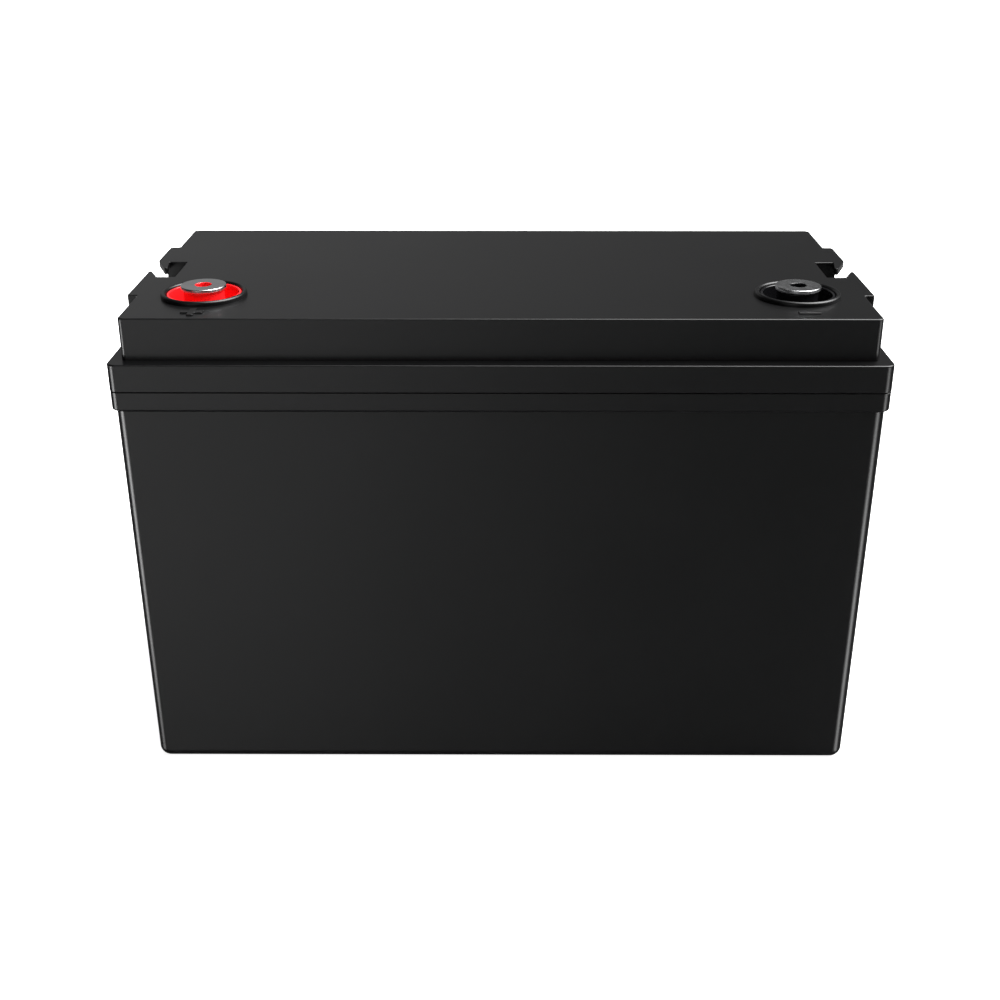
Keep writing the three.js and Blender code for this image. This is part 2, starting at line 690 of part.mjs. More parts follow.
function leads() {
  const group = new THREE.Group();
  const lugMouth = TERMINAL.y + LUG.barrelTo + GAP;
  const barrelX = TAKEOFF.leg + BUSBAR.thick + GAP + LUG.barrel - 2;
  const barrelMouth = TAKEOFF.legBottom - 20 - GAP;
  const onBoard = boardX + BMS.thick + GAP + LEAD_RADIUS + 0.2;
  const positive = tube([
    [-TERMINAL.x, lugMouth, lugZ],
    [-TERMINAL.x, lugMouth + 12, lugZ],
    [-129, 16, 190],
    [-122, 25, 172],
    [-112, 16, 150],
    [-101, -8, 137],
    [-barrelX, -28, 136],
    [-barrelX, -POST.y, barrelMouth - 4],
    [-barrelX, -POST.y, barrelMouth],
  ], LEAD_RADIUS, 20, 10);
  const link = tube([
    [barrelX, -POST.y, barrelMouth],
    [barrelX, -POST.y, barrelMouth - 6],
    [onBoard, -32, 130],
    [onBoard, -30, 122],
    [onBoard, -30, BMS.sinkTop + 3],
  ], LEAD_RADIUS, 10, 10);
  const negative = tube([
    [onBoard, 36, BMS.sinkTop + 3],
    [onBoard, 36, 124],
    [98, 38, 145],
    [112, 40, 168],
    [125, 30, 188],
    [TERMINAL.x, lugMouth + 14, lugZ],
    [TERMINAL.x, lugMouth, lugZ],
  ], LEAD_RADIUS, 18, 10);
  group.add(piece('positive_main_lead', positive, materials.redLead));
  group.add(piece('stack_to_bms_lead', link, materials.blueLead));
  group.add(piece('negative_main_lead', negative, materials.blackLead));
  return group;
}

// ---------------------------------------------------------------- the pack

const batteryPack = new THREE.Group();
batteryPack.add(caseTub(), caseLid(), lidSeal());
batteryPack.add(terminal('positive', -1, materials.redPlastic));
batteryPack.add(terminal('negative', 1, materials.blackPlastic));
batteryPack.add(cells(), spacers(), busbars(), stackFrame(), foamPackers());
batteryPack.add(takeoff('positive', -1), takeoff('negative', 1));
batteryPack.add(managementBoard(), balanceHarness(), temperatureProbe(), leads());

export default batteryPack;
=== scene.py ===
# The looks of a sealed lithium battery pack: its case, terminals, cells, management board and leads.
# Metres, +Z up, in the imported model's own frame: X runs along the case and -Y is the terminal side.
import math

import bmesh
import bpy
from mathutils import Matrix, Vector


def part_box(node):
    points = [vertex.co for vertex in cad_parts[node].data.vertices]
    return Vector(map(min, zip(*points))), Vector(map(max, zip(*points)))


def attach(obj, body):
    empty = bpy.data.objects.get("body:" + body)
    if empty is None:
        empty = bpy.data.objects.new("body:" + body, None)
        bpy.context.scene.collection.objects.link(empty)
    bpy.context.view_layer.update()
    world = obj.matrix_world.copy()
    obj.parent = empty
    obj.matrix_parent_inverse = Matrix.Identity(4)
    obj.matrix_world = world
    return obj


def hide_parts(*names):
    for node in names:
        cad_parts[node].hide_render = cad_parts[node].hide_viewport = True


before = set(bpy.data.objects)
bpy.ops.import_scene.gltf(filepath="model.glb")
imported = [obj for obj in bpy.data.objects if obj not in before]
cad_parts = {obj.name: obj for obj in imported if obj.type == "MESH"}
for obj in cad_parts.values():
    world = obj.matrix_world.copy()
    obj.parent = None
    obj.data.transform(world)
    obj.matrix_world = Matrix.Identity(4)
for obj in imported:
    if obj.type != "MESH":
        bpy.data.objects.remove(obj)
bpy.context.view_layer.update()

MM = 0.001

# -------- driving dimensions

tub_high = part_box("case_tub")[1]
lid_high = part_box("case_lid")[1]
skirt_half = Vector((lid_high.x, lid_high.y))
seam = tub_high.z
lid_bottom = seam + 0.3 * MM

# Case, outside
LID_TOP = 215.7 * MM
SKIRT_TOP = 197.4 * MM
RIM_BOTTOM = 176.6 * MM
TUB_HALF = Vector((163.8, 84.1)) * MM
FOOT_HALF = Vector((162.5, 83.5)) * MM
PLATEAU_HALF = Vector((159.6, 79.8)) * MM
TUB_CORNER = 5.5 * MM
SKIRT_CORNER = 4.3 * MM
PLATEAU_CORNER = 2.5 * MM
FOOT_ROUND = 5 * MM
RIM_FILLET = 0.6 * MM
TOP_ROUND = 0.7 * MM
WING_ROUND = 0.4 * MM
SMALL_ROUND = 0.3 * MM
RIM_ROUND = 1.1 * MM
SEAM_CHAMFER = 0.25 * MM

# Case, walls
WALL = 3 * MM
FLOOR = 4 * MM
INNER_ROUND = 2 * MM
TONGUE_DEPTH = 7 * MM
TONGUE_HALF = TUB_HALF - Vector((WALL, WALL)) - Vector((0.4, 0.4)) * MM
TONGUE_WALL = 2 * MM
GROOVE_HALF_WIDE = 0.9 * MM
GROOVE_DEPTH = 1.5 * MM

# Wings, and the hooked strap slot in each
WING_OUTER = 164 * MM
WING_FRONT = -43.8 * MM
WING_BACK = 43 * MM
WING_PLATE = 3 * MM
SLOT_FRONT = -13.3 * MM
SLOT_BACK = 13.9 * MM
SLOT_INNER = 149.6 * MM
SLOT_WALL = 2.5 * MM
LIP_INNER = 158 * MM
LIP_OUTER_Y = -0.1 * MM
HOOK_ROOT = 158.4 * MM
HOOK_TIP = (156.6 * MM, 158.1 * MM)
HOOK_TIP_Y = 2.5 * MM
HOOK_OUTER_Y = 17 * MM

# Terminals
RING_INNER = 16.5 * MM
RING_OUTER = 18.7 * MM
RING_TALL = 2.1 * MM
BOSS_OUTER = 18.5 * MM
BOSS_BOTTOM = 18 * MM  # above the tub's rim
COLLAR = 8.9 * MM
CUP_WALL = 1.2 * MM
CUP_FLOOR = 6 * MM  # above the cup's underside
CUP_RIM = 1.3 * MM  # above the lid
HEAD_TALL = 1.6 * MM
STUD = 6.3 * MM  # the radius of every hole that the insert's shank goes through
SHANK = 6 * MM
BORE = 3.4 * MM
BORE_FLOOR = 14 * MM  # above the insert's foot
MARK_Y = -71 * MM
MARK_LONG = 9.4 * MM
MARK_WIDE = 2.8 * MM
MARK_TALL = 0.6 * MM
ARC_SIDES = 96

# Lugs, bars and screws inside
LUG_THICK = 2.5 * MM
BAR_THICK = 2 * MM
TAKEOFF_HOLE = 3.3 * MM
TAKEOFF_HEX = 5.8 * MM
THREAD_PITCH = 1 * MM
THREAD_DEEP = 0.3 * MM
HEX_SIDES = 48

# Cells: the wrap's fold on the lid plate, the vent and the gaskets
FOLD = 1.4 * MM
PLATE_STEP = 0.25 * MM
VENT = (9 * MM, 5.5 * MM, 5.4 * MM)
GASKET = (8.4 * MM, 11 * MM)
POST_Y = 35 * MM

# Chips on the management board: place along Y, height, width and thickness, in millimetres.
CHIPS = ((-22, 8, 8, 1.6), (-11, 5, 6, 1.2), (-2, 3, 2, 0.8), (24, 6, 5, 1.4), (44, 3, 2, 0.8))
# Capacitors on it: place along Y, radius and height, in millimetres.
CAPACITORS = ((-50, 3.2, 8), (-42, 3.2, 8), (50, 2.5, 6))

# Foam pieces: name, node, edge rounding and the bulge of the faces, in millimetres.
FOAM = (
    ("stack_floor_pad", "floor_pad", 0.8, 0.2),
    ("front_packer", "foam_front", 3, 0.8), ("back_packer", "foam_back", 3, 0.8),
    ("left_packer", "foam_left", 4, 1.2), ("right_packer", "foam_right", 4, 1.2),
    ("board_backing", "bms_backing_pad", 1, 0.3),
)

# The bar, or the post under it, that each sense wire ends at, and the side of the bundle it lies on.
HARNESS_ENDS = (
    ("cell_1_positive_post", -1), ("cell_4_negative_post", -1),
    ("busbar_1_2", 1), ("busbar_2_3", -1), ("busbar_3_4", 1),
)
BUNDLE_Y = 15 * MM
LEAD_RADIUS = 4.5 * MM
SLEEVE_RADIUS = 4.85 * MM
SLEEVE_LONG = 12 * MM

# Soft panels of light by (azimuth, elevation, strength), in degrees: 0 is the front, positive to the
# right. Each angle is (middle, half size, softness).
GLOWS = (
    ((-22, 16, 16), (-10, 25, 20), 0.83),  # low in front, from the left
    ((60, 30, 20), (-10, 25, 20), 0.1),  # low in front, from the right
    ((-66, 11, 5), (-22, 7, 7), 13.5),  # a narrow one for the left front corner
    ((56, 13, 7), (-27, 9, 8), 7.2),  # a narrow one for the right front corner
    ((180, 50, 30), (-30, 25, 15), 0.35),  # low behind
    ((-155, 25, 25), (17, 12, 6), 0.24),  # behind on the left, for the lid
    ((155, 25, 25), (17, 12, 6), 0.02),  # behind on the right, for the lid
)
# A round one above: its direction, half size and softness in degrees, and strength.
OVERHEAD = ((0.5, 0.1, 0.86), 25, 20, 13)
ROOM = 0.02
DEGREES = 180 / math.pi

# -------- outlines and meshes


def quarter(steps):
    """(sine, cosine) from 0 to 90 degrees."""
    return [(math.sin(a), math.cos(a)) for a in (math.pi / 2 * i / steps for i in range(steps + 1))]


def turns(count):
    """The angles of equal steps round a circle."""
    return [2 * math.pi * i / count for i in range(count)]


def filleted(corners, steps=8):
    """Walks a counter-clockwise outline of (x, y, radius, rim) corners; rim is optional.

    Gives (point, outward normal, rim) for each point. The rim value belongs to the side that a corner
    starts, and passes smoothly from one side's to the next round the corner.
    """
    walk = []
    for i, corner in enumerate(corners):
        here = Vector(corner[:2])
        into = (here - Vector(corners[i - 1][:2])).normalized()
        out = (Vector(corners[(i + 1) % len(corners)][:2]) - here).normalized()
        turn = math.atan2(into.x * out.y - into.y * out.x, into.dot(out))
        rim_before = corners[i - 1][3] if len(corner) > 3 else 0
        rim_after = corner[3] if len(corner) > 3 else 0
        radius = math.copysign(corner[2], turn)
        start = here - into * corner[2] * math.tan(abs(turn) / 2)
        centre = start + Vector((-into.y, into.x)) * radius
        for step in range(steps + 1):
            share = step / steps
            along = Matrix.Rotation(turn * share, 2) @ into
            normal = Vector((along.y, -along.x))
            walk.append((centre + normal * radius, normal, rim_before + (rim_after - rim_before) * share))
    return walk


def local_outline(low, high, corner, steps=6):
    """A rounded rectangle's walk between two (x, y) corners."""
    spots = ((high[0], low[1]), (high[0], high[1]), (low[0], high[1]), (low[0], low[1]))
    return filleted([(x, y, corner) for x, y in spots], steps)


def rectangle(half, corner):
    return local_outline(-half, half, corner, 8)


def ring_of(walk, height, inset=0.0):
    """The walk's points at a height, moved inwards by inset."""
    return [(p.x - n.x * inset, p.y - n.y * inset, height) for p, n, _ in walk]


def rounded_rim(walk, top, steps=6):
    """Rings that round the top edge of a walk's wall, each point by its own rim radius."""
    return [
        [(p.x - n.x * rim * (1 - c), p.y - n.y * rim * (1 - c), top - rim * (1 - s)) for p, n, rim in walk]
        for s, c in quarter(steps)
    ]


def skin(rings, closed=False):
    """A mesh through rings of equally many points, going up outside and down inside.

    An open skin is capped at both ends, unless the end ring is a single spot.
    """
    mesh = bmesh.new()
    rows = [[mesh.verts.new(point) for point in ring] for ring in rings]
    pairs = list(zip(rows, rows[1:]))
    if closed:
        pairs.append((rows[-1], rows[0]))
    count = len(rows[0])
    for low, high in pairs:
        for i in range(count):
            k = (i + 1) % count
            mesh.faces.new((low[i], low[k], high[k], high[i]))
    if not closed:
        for row, ring, backwards in ((rows[0], rings[0], True), (rows[-1], rings[-1], False)):
            if (Vector(ring[0]) - Vector(ring[count // 2])).length > 1e-7:
                mesh.faces.new(list(reversed(row)) if backwards else row)
    bmesh.ops.remove_doubles(mesh, verts=mesh.verts, dist=1e-7)
    bmesh.ops.dissolve_degenerate(mesh, edges=mesh.edges, dist=1e-8)
    return mesh


def turned(profile, sides=ARC_SIDES):
    """A turned solid about Z from (radius, height) points, up the outside and back down the inside.

    A profile that starts and ends on the axis is open there; any other closes on itself.
    """
    around = [(math.cos(a), math.sin(a)) for a in turns(sides)]
    rings = [[(x * radius, y * radius, height) for x, y in around] for radius, height in profile]
    on_axis = profile[0][0] < 1e-9 and profile[-1][0] < 1e-9
    return skin(rings, closed=not on_axis)


def soft_profile(corners, steps=5):
    """(radius, height) points of a turned outline whose (radius, height, fillet) corners are rounded."""
    return [(point.x, point.y) for point, _, _ in filleted(corners, steps)]


def plug(radius, low, high, sides=ARC_SIDES):
    """A plain round shape to cut a hole with."""
    return turned([(0, low), (radius, low), (radius, high), (0, high)], sides)


def brick(low, high, edge=0.0, steps=2):
    """A box between two corners with its edges rounded."""
    mesh = bmesh.new()
    bmesh.ops.create_cube(mesh, size=1)
    low, high = Vector(low), Vector(high)
    size = high - low
    middle = (high + low) / 2
    for vert in mesh.verts:
        vert.co = Vector((vert.co.x * size.x, vert.co.y * size.y, vert.co.z * size.z)) + middle
    if edge:
        bmesh.ops.bevel(
            mesh, geom=mesh.edges[:], offset=edge, segments=steps, profile=0.5, affect="EDGES"
        )
    return mesh


def moved(mesh, x=0.0, y=0.0, z=0.0):
    bmesh.ops.translate(mesh, verts=mesh.verts, vec=(x, y, z))
    return mesh


def mirrored(mesh):
    """The same shape at the other end of the case."""
    for vert in mesh.verts:
        vert.co.x = -vert.co.x
    bmesh.ops.reverse_faces(mesh, faces=mesh.faces)
    return mesh


def new_object(name, mesh):
    data = bpy.data.meshes.new(name)
    bmesh.ops.recalc_face_normals(mesh, faces=mesh.faces)
    mesh.to_mesh(data)
    mesh.free()
    piece = bpy.data.objects.new(name, data)
    bpy.context.scene.collection.objects.link(piece)
    return piece


def mesh_of(piece):
    mesh = bmesh.new()
    mesh.from_mesh(piece.data)
    return mesh


def refill(piece, mesh):
    mesh.to_mesh(piece.data)
    mesh.free()


def carve(piece, steps):
    """Joins meshes to a piece ("UNION") or cuts them from it ("DIFFERENCE"), in the order given."""
    tools = []
    for operation, mesh in steps:
        tool = new_object("tool", mesh)
        tools.append(tool)
        modifier = piece.modifiers.new("carve", "BOOLEAN")
        modifier.operation = operation
        modifier.solver = "EXACT"
        modifier.object = tool
    graph = bpy.context.evaluated_depsgraph_get()
    carved = bpy.data.meshes.new_from_object(piece.evaluated_get(graph))
    piece.modifiers.clear()
    piece.data = carved
    carved.materials.clear()
    for tool in tools:
        bpy.data.objects.remove(tool)
    return piece


def finish_piece(piece, slot, *nodes, sharp=35):
    """Gives a piece its shading and the material of its slot, and hides the CAD nodes it stands for."""
    data = piece.data
    data.materials.append(LOOKS[slot])
    data.shade_smooth()
    data.set_sharp_from_angle(angle=math.radians(sharp))
    weighted = piece.modifiers.new("weighted normals", "WEIGHTED_NORMAL")
    weighted.keep_sharp = True
    weighted.weight = 100
    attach(piece, "root")
    if nodes:
        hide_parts(*nodes)
    return piece


def add(name, mesh, slot, *nodes, also=()):
    """A finished piece; also names the materials of its parts that are painted 1 and 2."""
    piece = finish_piece(new_object(name, mesh), slot, *nodes)
    for look in also:
        piece.data.materials.append(LOOKS[look])
    return piece


# -------- materials


def feed(node, *inputs, **named):
    """Gives a node's inputs, in order or by name with _ for a space, a value or another's output."""
    pairs = [*zip(node.inputs, inputs)]
    pairs += [(node.inputs[name.replace("_", " ")], value) for name, value in named.items()]
    for socket, value in pairs:
        if isinstance(value, bpy.types.NodeSocket):
            node.id_data.links.new(value, socket)
        else:
            socket.default_value = value
    return node


def new_node(tree, kind, *inputs, **named):
    return feed(tree.nodes.new("ShaderNode" + kind), *inputs, **named)


def surface(material, **named):
    feed(material.node_tree.nodes["Principled BSDF"], **named)


def new_material(name, color, roughness, metallic=0.0):
    material = bpy.data.materials.new(name)
    material.use_nodes = True
    surface(material, Base_Color=(*color, 1), Roughness=roughness, Metallic=metallic)
    return material


def noise_field(material, scale, detail=3, stretch=(1, 1, 1)):
    """A noise value over the piece, with scale in lumps a metre."""
    tree = material.node_tree
    place = new_node(tree, "TexCoord").outputs["Object"]
    place = new_node(tree, "Mapping", Vector=place, Scale=stretch).outputs["Vector"]
    return new_node(tree, "TexNoise", Vector=place, Scale=scale, Detail=detail).outputs["Fac"]


def vary_roughness(material, field, low, high):
    spread = new_node(material.node_tree, "MapRange", field, 0.3, 0.7, low, high)
    surface(material, Roughness=spread.outputs["Result"])


def vary_color(material, field, dark, light):
    ramp = new_node(material.node_tree, "ValToRGB", Fac=field)
    for stop, place, color in zip(ramp.color_ramp.elements, (0.3, 0.7), (dark, light)):
        stop.position = place
        stop.color = (*color, 1)
    surface(material, Base_Color=ramp.outputs["Color"])


def add_bump(material, field, depth, strength=1.0):
    """Roughens the surface by depth metres where the field goes from 0 to 1."""
    bump = new_node(material.node_tree, "Bump", Height=field, Distance=depth, Strength=strength)
    before = material.node_tree.nodes["Principled BSDF"].inputs["Normal"]
    if before.is_linked:
        feed(bump, Normal=before.links[0].from_socket)
    surface(material, Normal=bump.outputs["Normal"])


def moulded_plastic():
    """Black ABS off a polished mould: satin and a little uneven."""
    material = new_material("moulded_plastic", (0.0042, 0.0042, 0.0045), 0.285)
    vary_color(material, noise_field(material, 9, 2), (0.0038, 0.0039, 0.0041), (0.0046, 0.0046, 0.0049))
    vary_roughness(material, noise_field(material, 16, 3), 0.278, 0.3)
    return material


def glossy_plastic(name, dark, light):
    material = new_material(name, light, 0.14)
    vary_color(material, noise_field(material, 60, 3), dark, light)
    vary_roughness(material, noise_field(material, 140, 4), 0.1, 0.2)
    add_bump(material, noise_field(material, 900, 2), 0.006 * MM, 0.5)
    return material


def turned_metal(name, dark, light, low, high):
    """Plated metal off a lathe, with the tool's fine rings."""
    material = new_material(name, light, 0.3, 1)
    vary_color(material, noise_field(material, 90, 4), dark, light)
    vary_roughness(material, noise_field(material, 300, 5), low, high)
    add_bump(material, noise_field(material, 1500, 3), 0.004 * MM, 0.5)
    return material


def grained(name, dark, light, low, high, metallic=0.0, lumps=120, grain=900, depth=0.006, stretch=(1, 1, 1)):
    """A material with a mottled colour, an uneven gloss and a fine grain."""
    material = new_material(name, light, (low + high) / 2, metallic)
    vary_color(material, noise_field(material, lumps, 3), dark, light)
    vary_roughness(material, noise_field(material, lumps * 2, 3), low, high)
    add_bump(material, noise_field(material, grain, 2, stretch), depth * MM, 0.5)
    return material


def woven_board():
    """Glass-fibre board: the weave shows through the resin in both directions."""
    material = grained("fibre_board", (0.5, 0.42, 0.18), (0.6, 0.52, 0.26), 0.4, 0.6)
    for stretch in ((0.15, 1, 1), (1, 0.15, 0.15)):
        add_bump(material, noise_field(material, 1400, 1, stretch), 0.02 * MM, 0.5)
    return material


def cell_foam():
    """Closed-cell foam: small dark pits over a matt, slightly mottled surface."""
    material = new_material("closed_cell_foam", (0.045, 0.045, 0.048), 0.95)
    vary_color(material, noise_field(material, 90, 4), (0.032, 0.032, 0.034), (0.055, 0.055, 0.058))
    tree = material.node_tree
    place = new_node(tree, "TexCoord").outputs["Object"]
    cells = new_node(tree, "TexVoronoi", Vector=place, Scale=900)
    add_bump(material, cells.outputs["Distance"], 0.15 * MM, 0.7)
    return material


# The material of each record slot, and of the parts that are painted another.
LOOKS = {
    "case_plastic": moulded_plastic(),
    "red_plastic": glossy_plastic("red_insulator", (0.9, 0.018, 0.022), (0.97, 0.027, 0.033)),
    "black_plastic": glossy_plastic("black_insulator", (0.006, 0.006, 0.007), (0.01, 0.01, 0.011)),
    "terminal_metal": turned_metal(
        "terminal_metal", (0.7, 0.705, 0.72), (0.78, 0.785, 0.8), 0.2, 0.265
    ),
    "seal_rubber": grained(
        "seal_rubber", (0.024, 0.024, 0.026), (0.034, 0.034, 0.036), 0.65, 0.85, depth=0.02
    ),
    "tinned_copper": grained("tinned_copper", (0.6, 0.58, 0.53), (0.72, 0.7, 0.65), 0.32, 0.48, 1),
    "zinc_steel": grained("zinc_steel", (0.52, 0.54, 0.56), (0.64, 0.66, 0.68), 0.28, 0.42, 1),
    "cell_wrap": grained(
        "cell_film", (0.022, 0.11, 0.36), (0.034, 0.15, 0.44), 0.28, 0.4, grain=200, depth=0.03
    ),
    "aluminium": grained(
        "aluminium", (0.7, 0.71, 0.72), (0.78, 0.79, 0.8), 0.3, 0.44, 1, stretch=(1, 1, 0.04)
    ),
    "copper": grained("copper", (0.62, 0.27, 0.14), (0.76, 0.37, 0.2), 0.24, 0.4, 1, stretch=(0.05, 1, 1)),
    "fibre_board": woven_board(),
    "strap_plastic": grained(
        "strap_plastic", (0.016, 0.23, 0.08), (0.024, 0.3, 0.11), 0.38, 0.52, grain=500, depth=0.15
    ),
    "foam": cell_foam(),
    "circuit_board": grained("circuit_board", (0.008, 0.08, 0.03), (0.012, 0.11, 0.045), 0.3, 0.45),
    "connector_plastic": grained("natural_nylon", (0.7, 0.66, 0.54), (0.8, 0.76, 0.64), 0.42, 0.58),
    "component_black": grained(
        "component_black", (0.014, 0.014, 0.015), (0.022, 0.022, 0.024), 0.5, 0.65
    ),
}
for color, dark, light in (
    ("red", (0.46, 0.008, 0.01), (0.58, 0.012, 0.014)),
    ("blue", (0.008, 0.055, 0.38), (0.012, 0.08, 0.48)),
    ("black", (0.008, 0.008, 0.009), (0.014, 0.014, 0.015)),
):
    LOOKS[color + "_cable"] = grained(color + "_silicone", dark, light, 0.42, 0.56, depth=0.02)

# -------- case tub


def tub_half(height):
    """Half the tub's size at a height: its wall leans in towards the floor."""
    return FOOT_HALF + (TUB_HALF - FOOT_HALF) * (height / seam)


def tub_ring(height, inset=0.0):
    """A ring round the tub's wall, whose corners tighten as it is inset."""
    corner = max(TUB_CORNER - inset, 0.3 * MM)
    return ring_of(rectangle(tub_half(height) - Vector((inset, inset)), corner), height)


def rim_ring(height, inset=0.0):
    half = Vector((tub_high.x - inset, tub_high.y - inset))
    return ring_of(rectangle(half, SKIRT_CORNER - min(inset, SKIRT_CORNER - 0.5 * MM)), height)


def case_tub():
    rings = [tub_ring(FOOT_ROUND * (1 - c), FOOT_ROUND * (1 - s)) for s, c in quarter(10)]
    rings += [tub_ring(RIM_BOTTOM - RIM_FILLET * (1 - s), -RIM_FILLET * (1 - c)) for s, c in quarter(4)]
    rings += [rim_ring(RIM_BOTTOM + RIM_ROUND * (1 - c), RIM_ROUND * (1 - s)) for s, c in quarter(6)]
    rings += [rim_ring(seam - SEAM_CHAMFER), rim_ring(seam, SEAM_CHAMFER)]
    middle = (tub_high.x - TUB_HALF.x + WALL) / 2
    outer = middle - GROOVE_HALF_WIDE
    inner = middle + GROOVE_HALF_WIDE
    rings += [rim_ring(seam, outer), rim_ring(seam - GROOVE_DEPTH, outer)]
    rings += [rim_ring(seam - GROOVE_DEPTH, inner), rim_ring(seam, inner), tub_ring(seam, WALL)]
    rings += [
        tub_ring(FLOOR + INNER_ROUND * (1 - s), WALL + INNER_ROUND * (1 - c)) for s, c in quarter(5)
    ]
    add("tub_shell", skin(rings), "case_plastic", "case_tub")


# -------- case lid


def lid_outline():
    """The lid's top: the plateau, a wing at each end and the hooked slot in each wing."""
    end = WING_OUTER
    side = PLATEAU_HALF
    hook_in, hook_out = HOOK_TIP
    right = [
        (side.x, -side.y, PLATEAU_CORNER, TOP_ROUND), (side.x, WING_FRONT, 0.8 * MM, WING_ROUND),
        (end, WING_FRONT, 0.6 * MM, WING_ROUND), (end, LIP_OUTER_Y, 0.8 * MM, WING_ROUND),
        (LIP_INNER, SLOT_FRONT, 0.8 * MM, WING_ROUND), (SLOT_INNER, SLOT_FRONT, 0.8 * MM, SMALL_ROUND),
        (SLOT_INNER, SLOT_BACK, 0.8 * MM, WING_ROUND), (HOOK_ROOT, SLOT_BACK, 0.5 * MM, SMALL_ROUND),
        (hook_in, HOOK_TIP_Y, 0.7 * MM, SMALL_ROUND), (hook_out, HOOK_TIP_Y, 0.7 * MM, SMALL_ROUND),
        (end, HOOK_OUTER_Y, 2 * MM, WING_ROUND), (end, WING_BACK, 1.6 * MM, WING_ROUND),
        (side.x, WING_BACK, 0.6 * MM, TOP_ROUND), (side.x, side.y, PLATEAU_CORNER, TOP_ROUND),
    ]
    left = []
    for i in range(len(right) - 1, -1, -1):
        x, y, radius, _ = right[i]
        left.append((-x, y, radius, right[i - 1][3] if i else TOP_ROUND))
    return right + left


def plateau():
    walk = filleted(lid_outline())
    rings = [ring_of(walk, SKIRT_TOP - 1 * MM)] + rounded_rim(walk, LID_TOP)
    return new_object("lid_shell", skin(rings))


def skirt():
    """The flange round the lid, chamfered where it meets the tub."""
    walk = [(p, n, TOP_ROUND) for p, n, _ in rectangle(skirt_half, SKIRT_CORNER)]
    foot = [ring_of(walk, lid_bottom, SEAM_CHAMFER), ring_of(walk, lid_bottom + SEAM_CHAMFER)]
    return skin(foot + rounded_rim(walk, SKIRT_TOP))


def block(half, corner, bottom, top):
    walk = rectangle(half, corner)
    return skin([ring_of(walk, bottom), ring_of(walk, top)])


def inset_by(half, amount):
    return half - Vector((amount, amount))


def space_under_wing(side):
    """What is open under one wing: the room between its end walls, and the slot's pocket."""
    far = skirt_half.x + 5 * MM
    low = SKIRT_TOP - 2 * MM
    high = LID_TOP - WING_PLATE
    between = brick((PLATEAU_HALF.x, WING_FRONT + WALL, low), (far, WING_BACK - WALL, high))
    pocket = brick((SLOT_INNER, SLOT_FRONT, low), (far, SLOT_BACK, high))
    tools = [between, pocket]
    return [("DIFFERENCE", mirrored(tool) if side < 0 else tool) for tool in tools]


def upper_hollow():
    """The room under the plateau, notched at each end for the slot pocket's walls."""
    half = inset_by(PLATEAU_HALF, WALL)
    notch = SLOT_INNER - SLOT_WALL
    front = SLOT_FRONT - SLOT_WALL
    back = SLOT_BACK + SLOT_WALL
    right = [(half.x, -half.y), (half.x, front), (notch, front)]
    right += [(notch, back), (half.x, back), (half.x, half.y)]
    outline = right + [(-x, y) for x, y in reversed(right)]
    walk = filleted([(x, y, 1 * MM) for x, y in outline], 3)
    return skin([ring_of(walk, SKIRT_TOP - WALL - 0.5 * MM), ring_of(walk, LID_TOP - WALL)])


def terminal_places():
    """(name, side, x, y) of each terminal: the positive one is at the left-hand end."""
    places = []
    for name, side in (("positive", -1), ("negative", 1)):
        middle = middle_of(name + "_terminal_cup")
        places.append((name, side, middle.x, middle.y))
    return places


def well_tube():
    """The tube that holds a terminal, with the rounded ring round its mouth."""
    bottom = seam + BOSS_BOTTOM
    half = (RING_OUTER - RING_INNER) / 2
    middle = (RING_OUTER + RING_INNER) / 2
    shoulder = LID_TOP + RING_TALL - half
    profile = [(RING_INNER, bottom), (BOSS_OUTER, bottom), (BOSS_OUTER, LID_TOP - 1 * MM)]
    profile += [(RING_OUTER, LID_TOP - 1 * MM)]
    for turn in [math.pi * step / 12 for step in range(13)]:
        profile.append((middle + half * math.cos(turn), shoulder + half * math.sin(turn)))
    return turned(profile)


def bar_corners(long, wide, radius, rim):
    return [(x, y, radius, rim) for x, y in ((long, -wide), (long, wide), (-long, wide), (-long, -wide))]


def polarity_mark(side):
    """A raised minus on the right and a raised plus on the left."""
    long = MARK_LONG / 2
    wide = MARK_WIDE / 2
    radius = 0.3 * MM
    rim = 0.25 * MM
    if side > 0:
        corners = bar_corners(long, wide, radius, rim)
    else:
        arm = [(long, -wide), (long, wide), (wide, wide)]
        corners = []
        for quarter_turn in range(4):
            spin = Matrix.Rotation(math.pi / 2 * quarter_turn, 2)
            corners += [(*(spin @ Vector(point)), radius, rim) for point in arm]
    walk = filleted(corners, 3)
    top = LID_TOP + MARK_TALL
    return skin([ring_of(walk, LID_TOP - 0.5 * MM)] + rounded_rim(walk, top, 3))


def case_lid():
    lid = plateau()
    room = inset_by(skirt_half, WALL)
    throat = inset_by(TONGUE_HALF, TONGUE_WALL)
    steps = space_under_wing(1) + space_under_wing(-1) + [
        ("UNION", skirt()),
        ("UNION", block(TONGUE_HALF, 2 * MM, seam - TONGUE_DEPTH, seam + 1 * MM)),
        ("DIFFERENCE", upper_hollow()),
        ("DIFFERENCE", block(room, 2 * MM, seam + WALL, SKIRT_TOP - WALL)),
        ("DIFFERENCE", block(throat, 1.5 * MM, seam - TONGUE_DEPTH - 1 * MM, seam + WALL + 0.5 * MM)),
    ]
    for _, side, x, y in terminal_places():
        hole = plug((RING_INNER + BOSS_OUTER) / 2, seam + 5 * MM, lid_high.z)
        steps.append(("DIFFERENCE", moved(hole, x, y)))
        steps.append(("UNION", moved(well_tube(), x, y)))
        steps.append(("UNION", moved(polarity_mark(side), x, MARK_Y)))
    finish_piece(carve(lid, steps), "case_plastic", "case_lid")


# -------- terminals


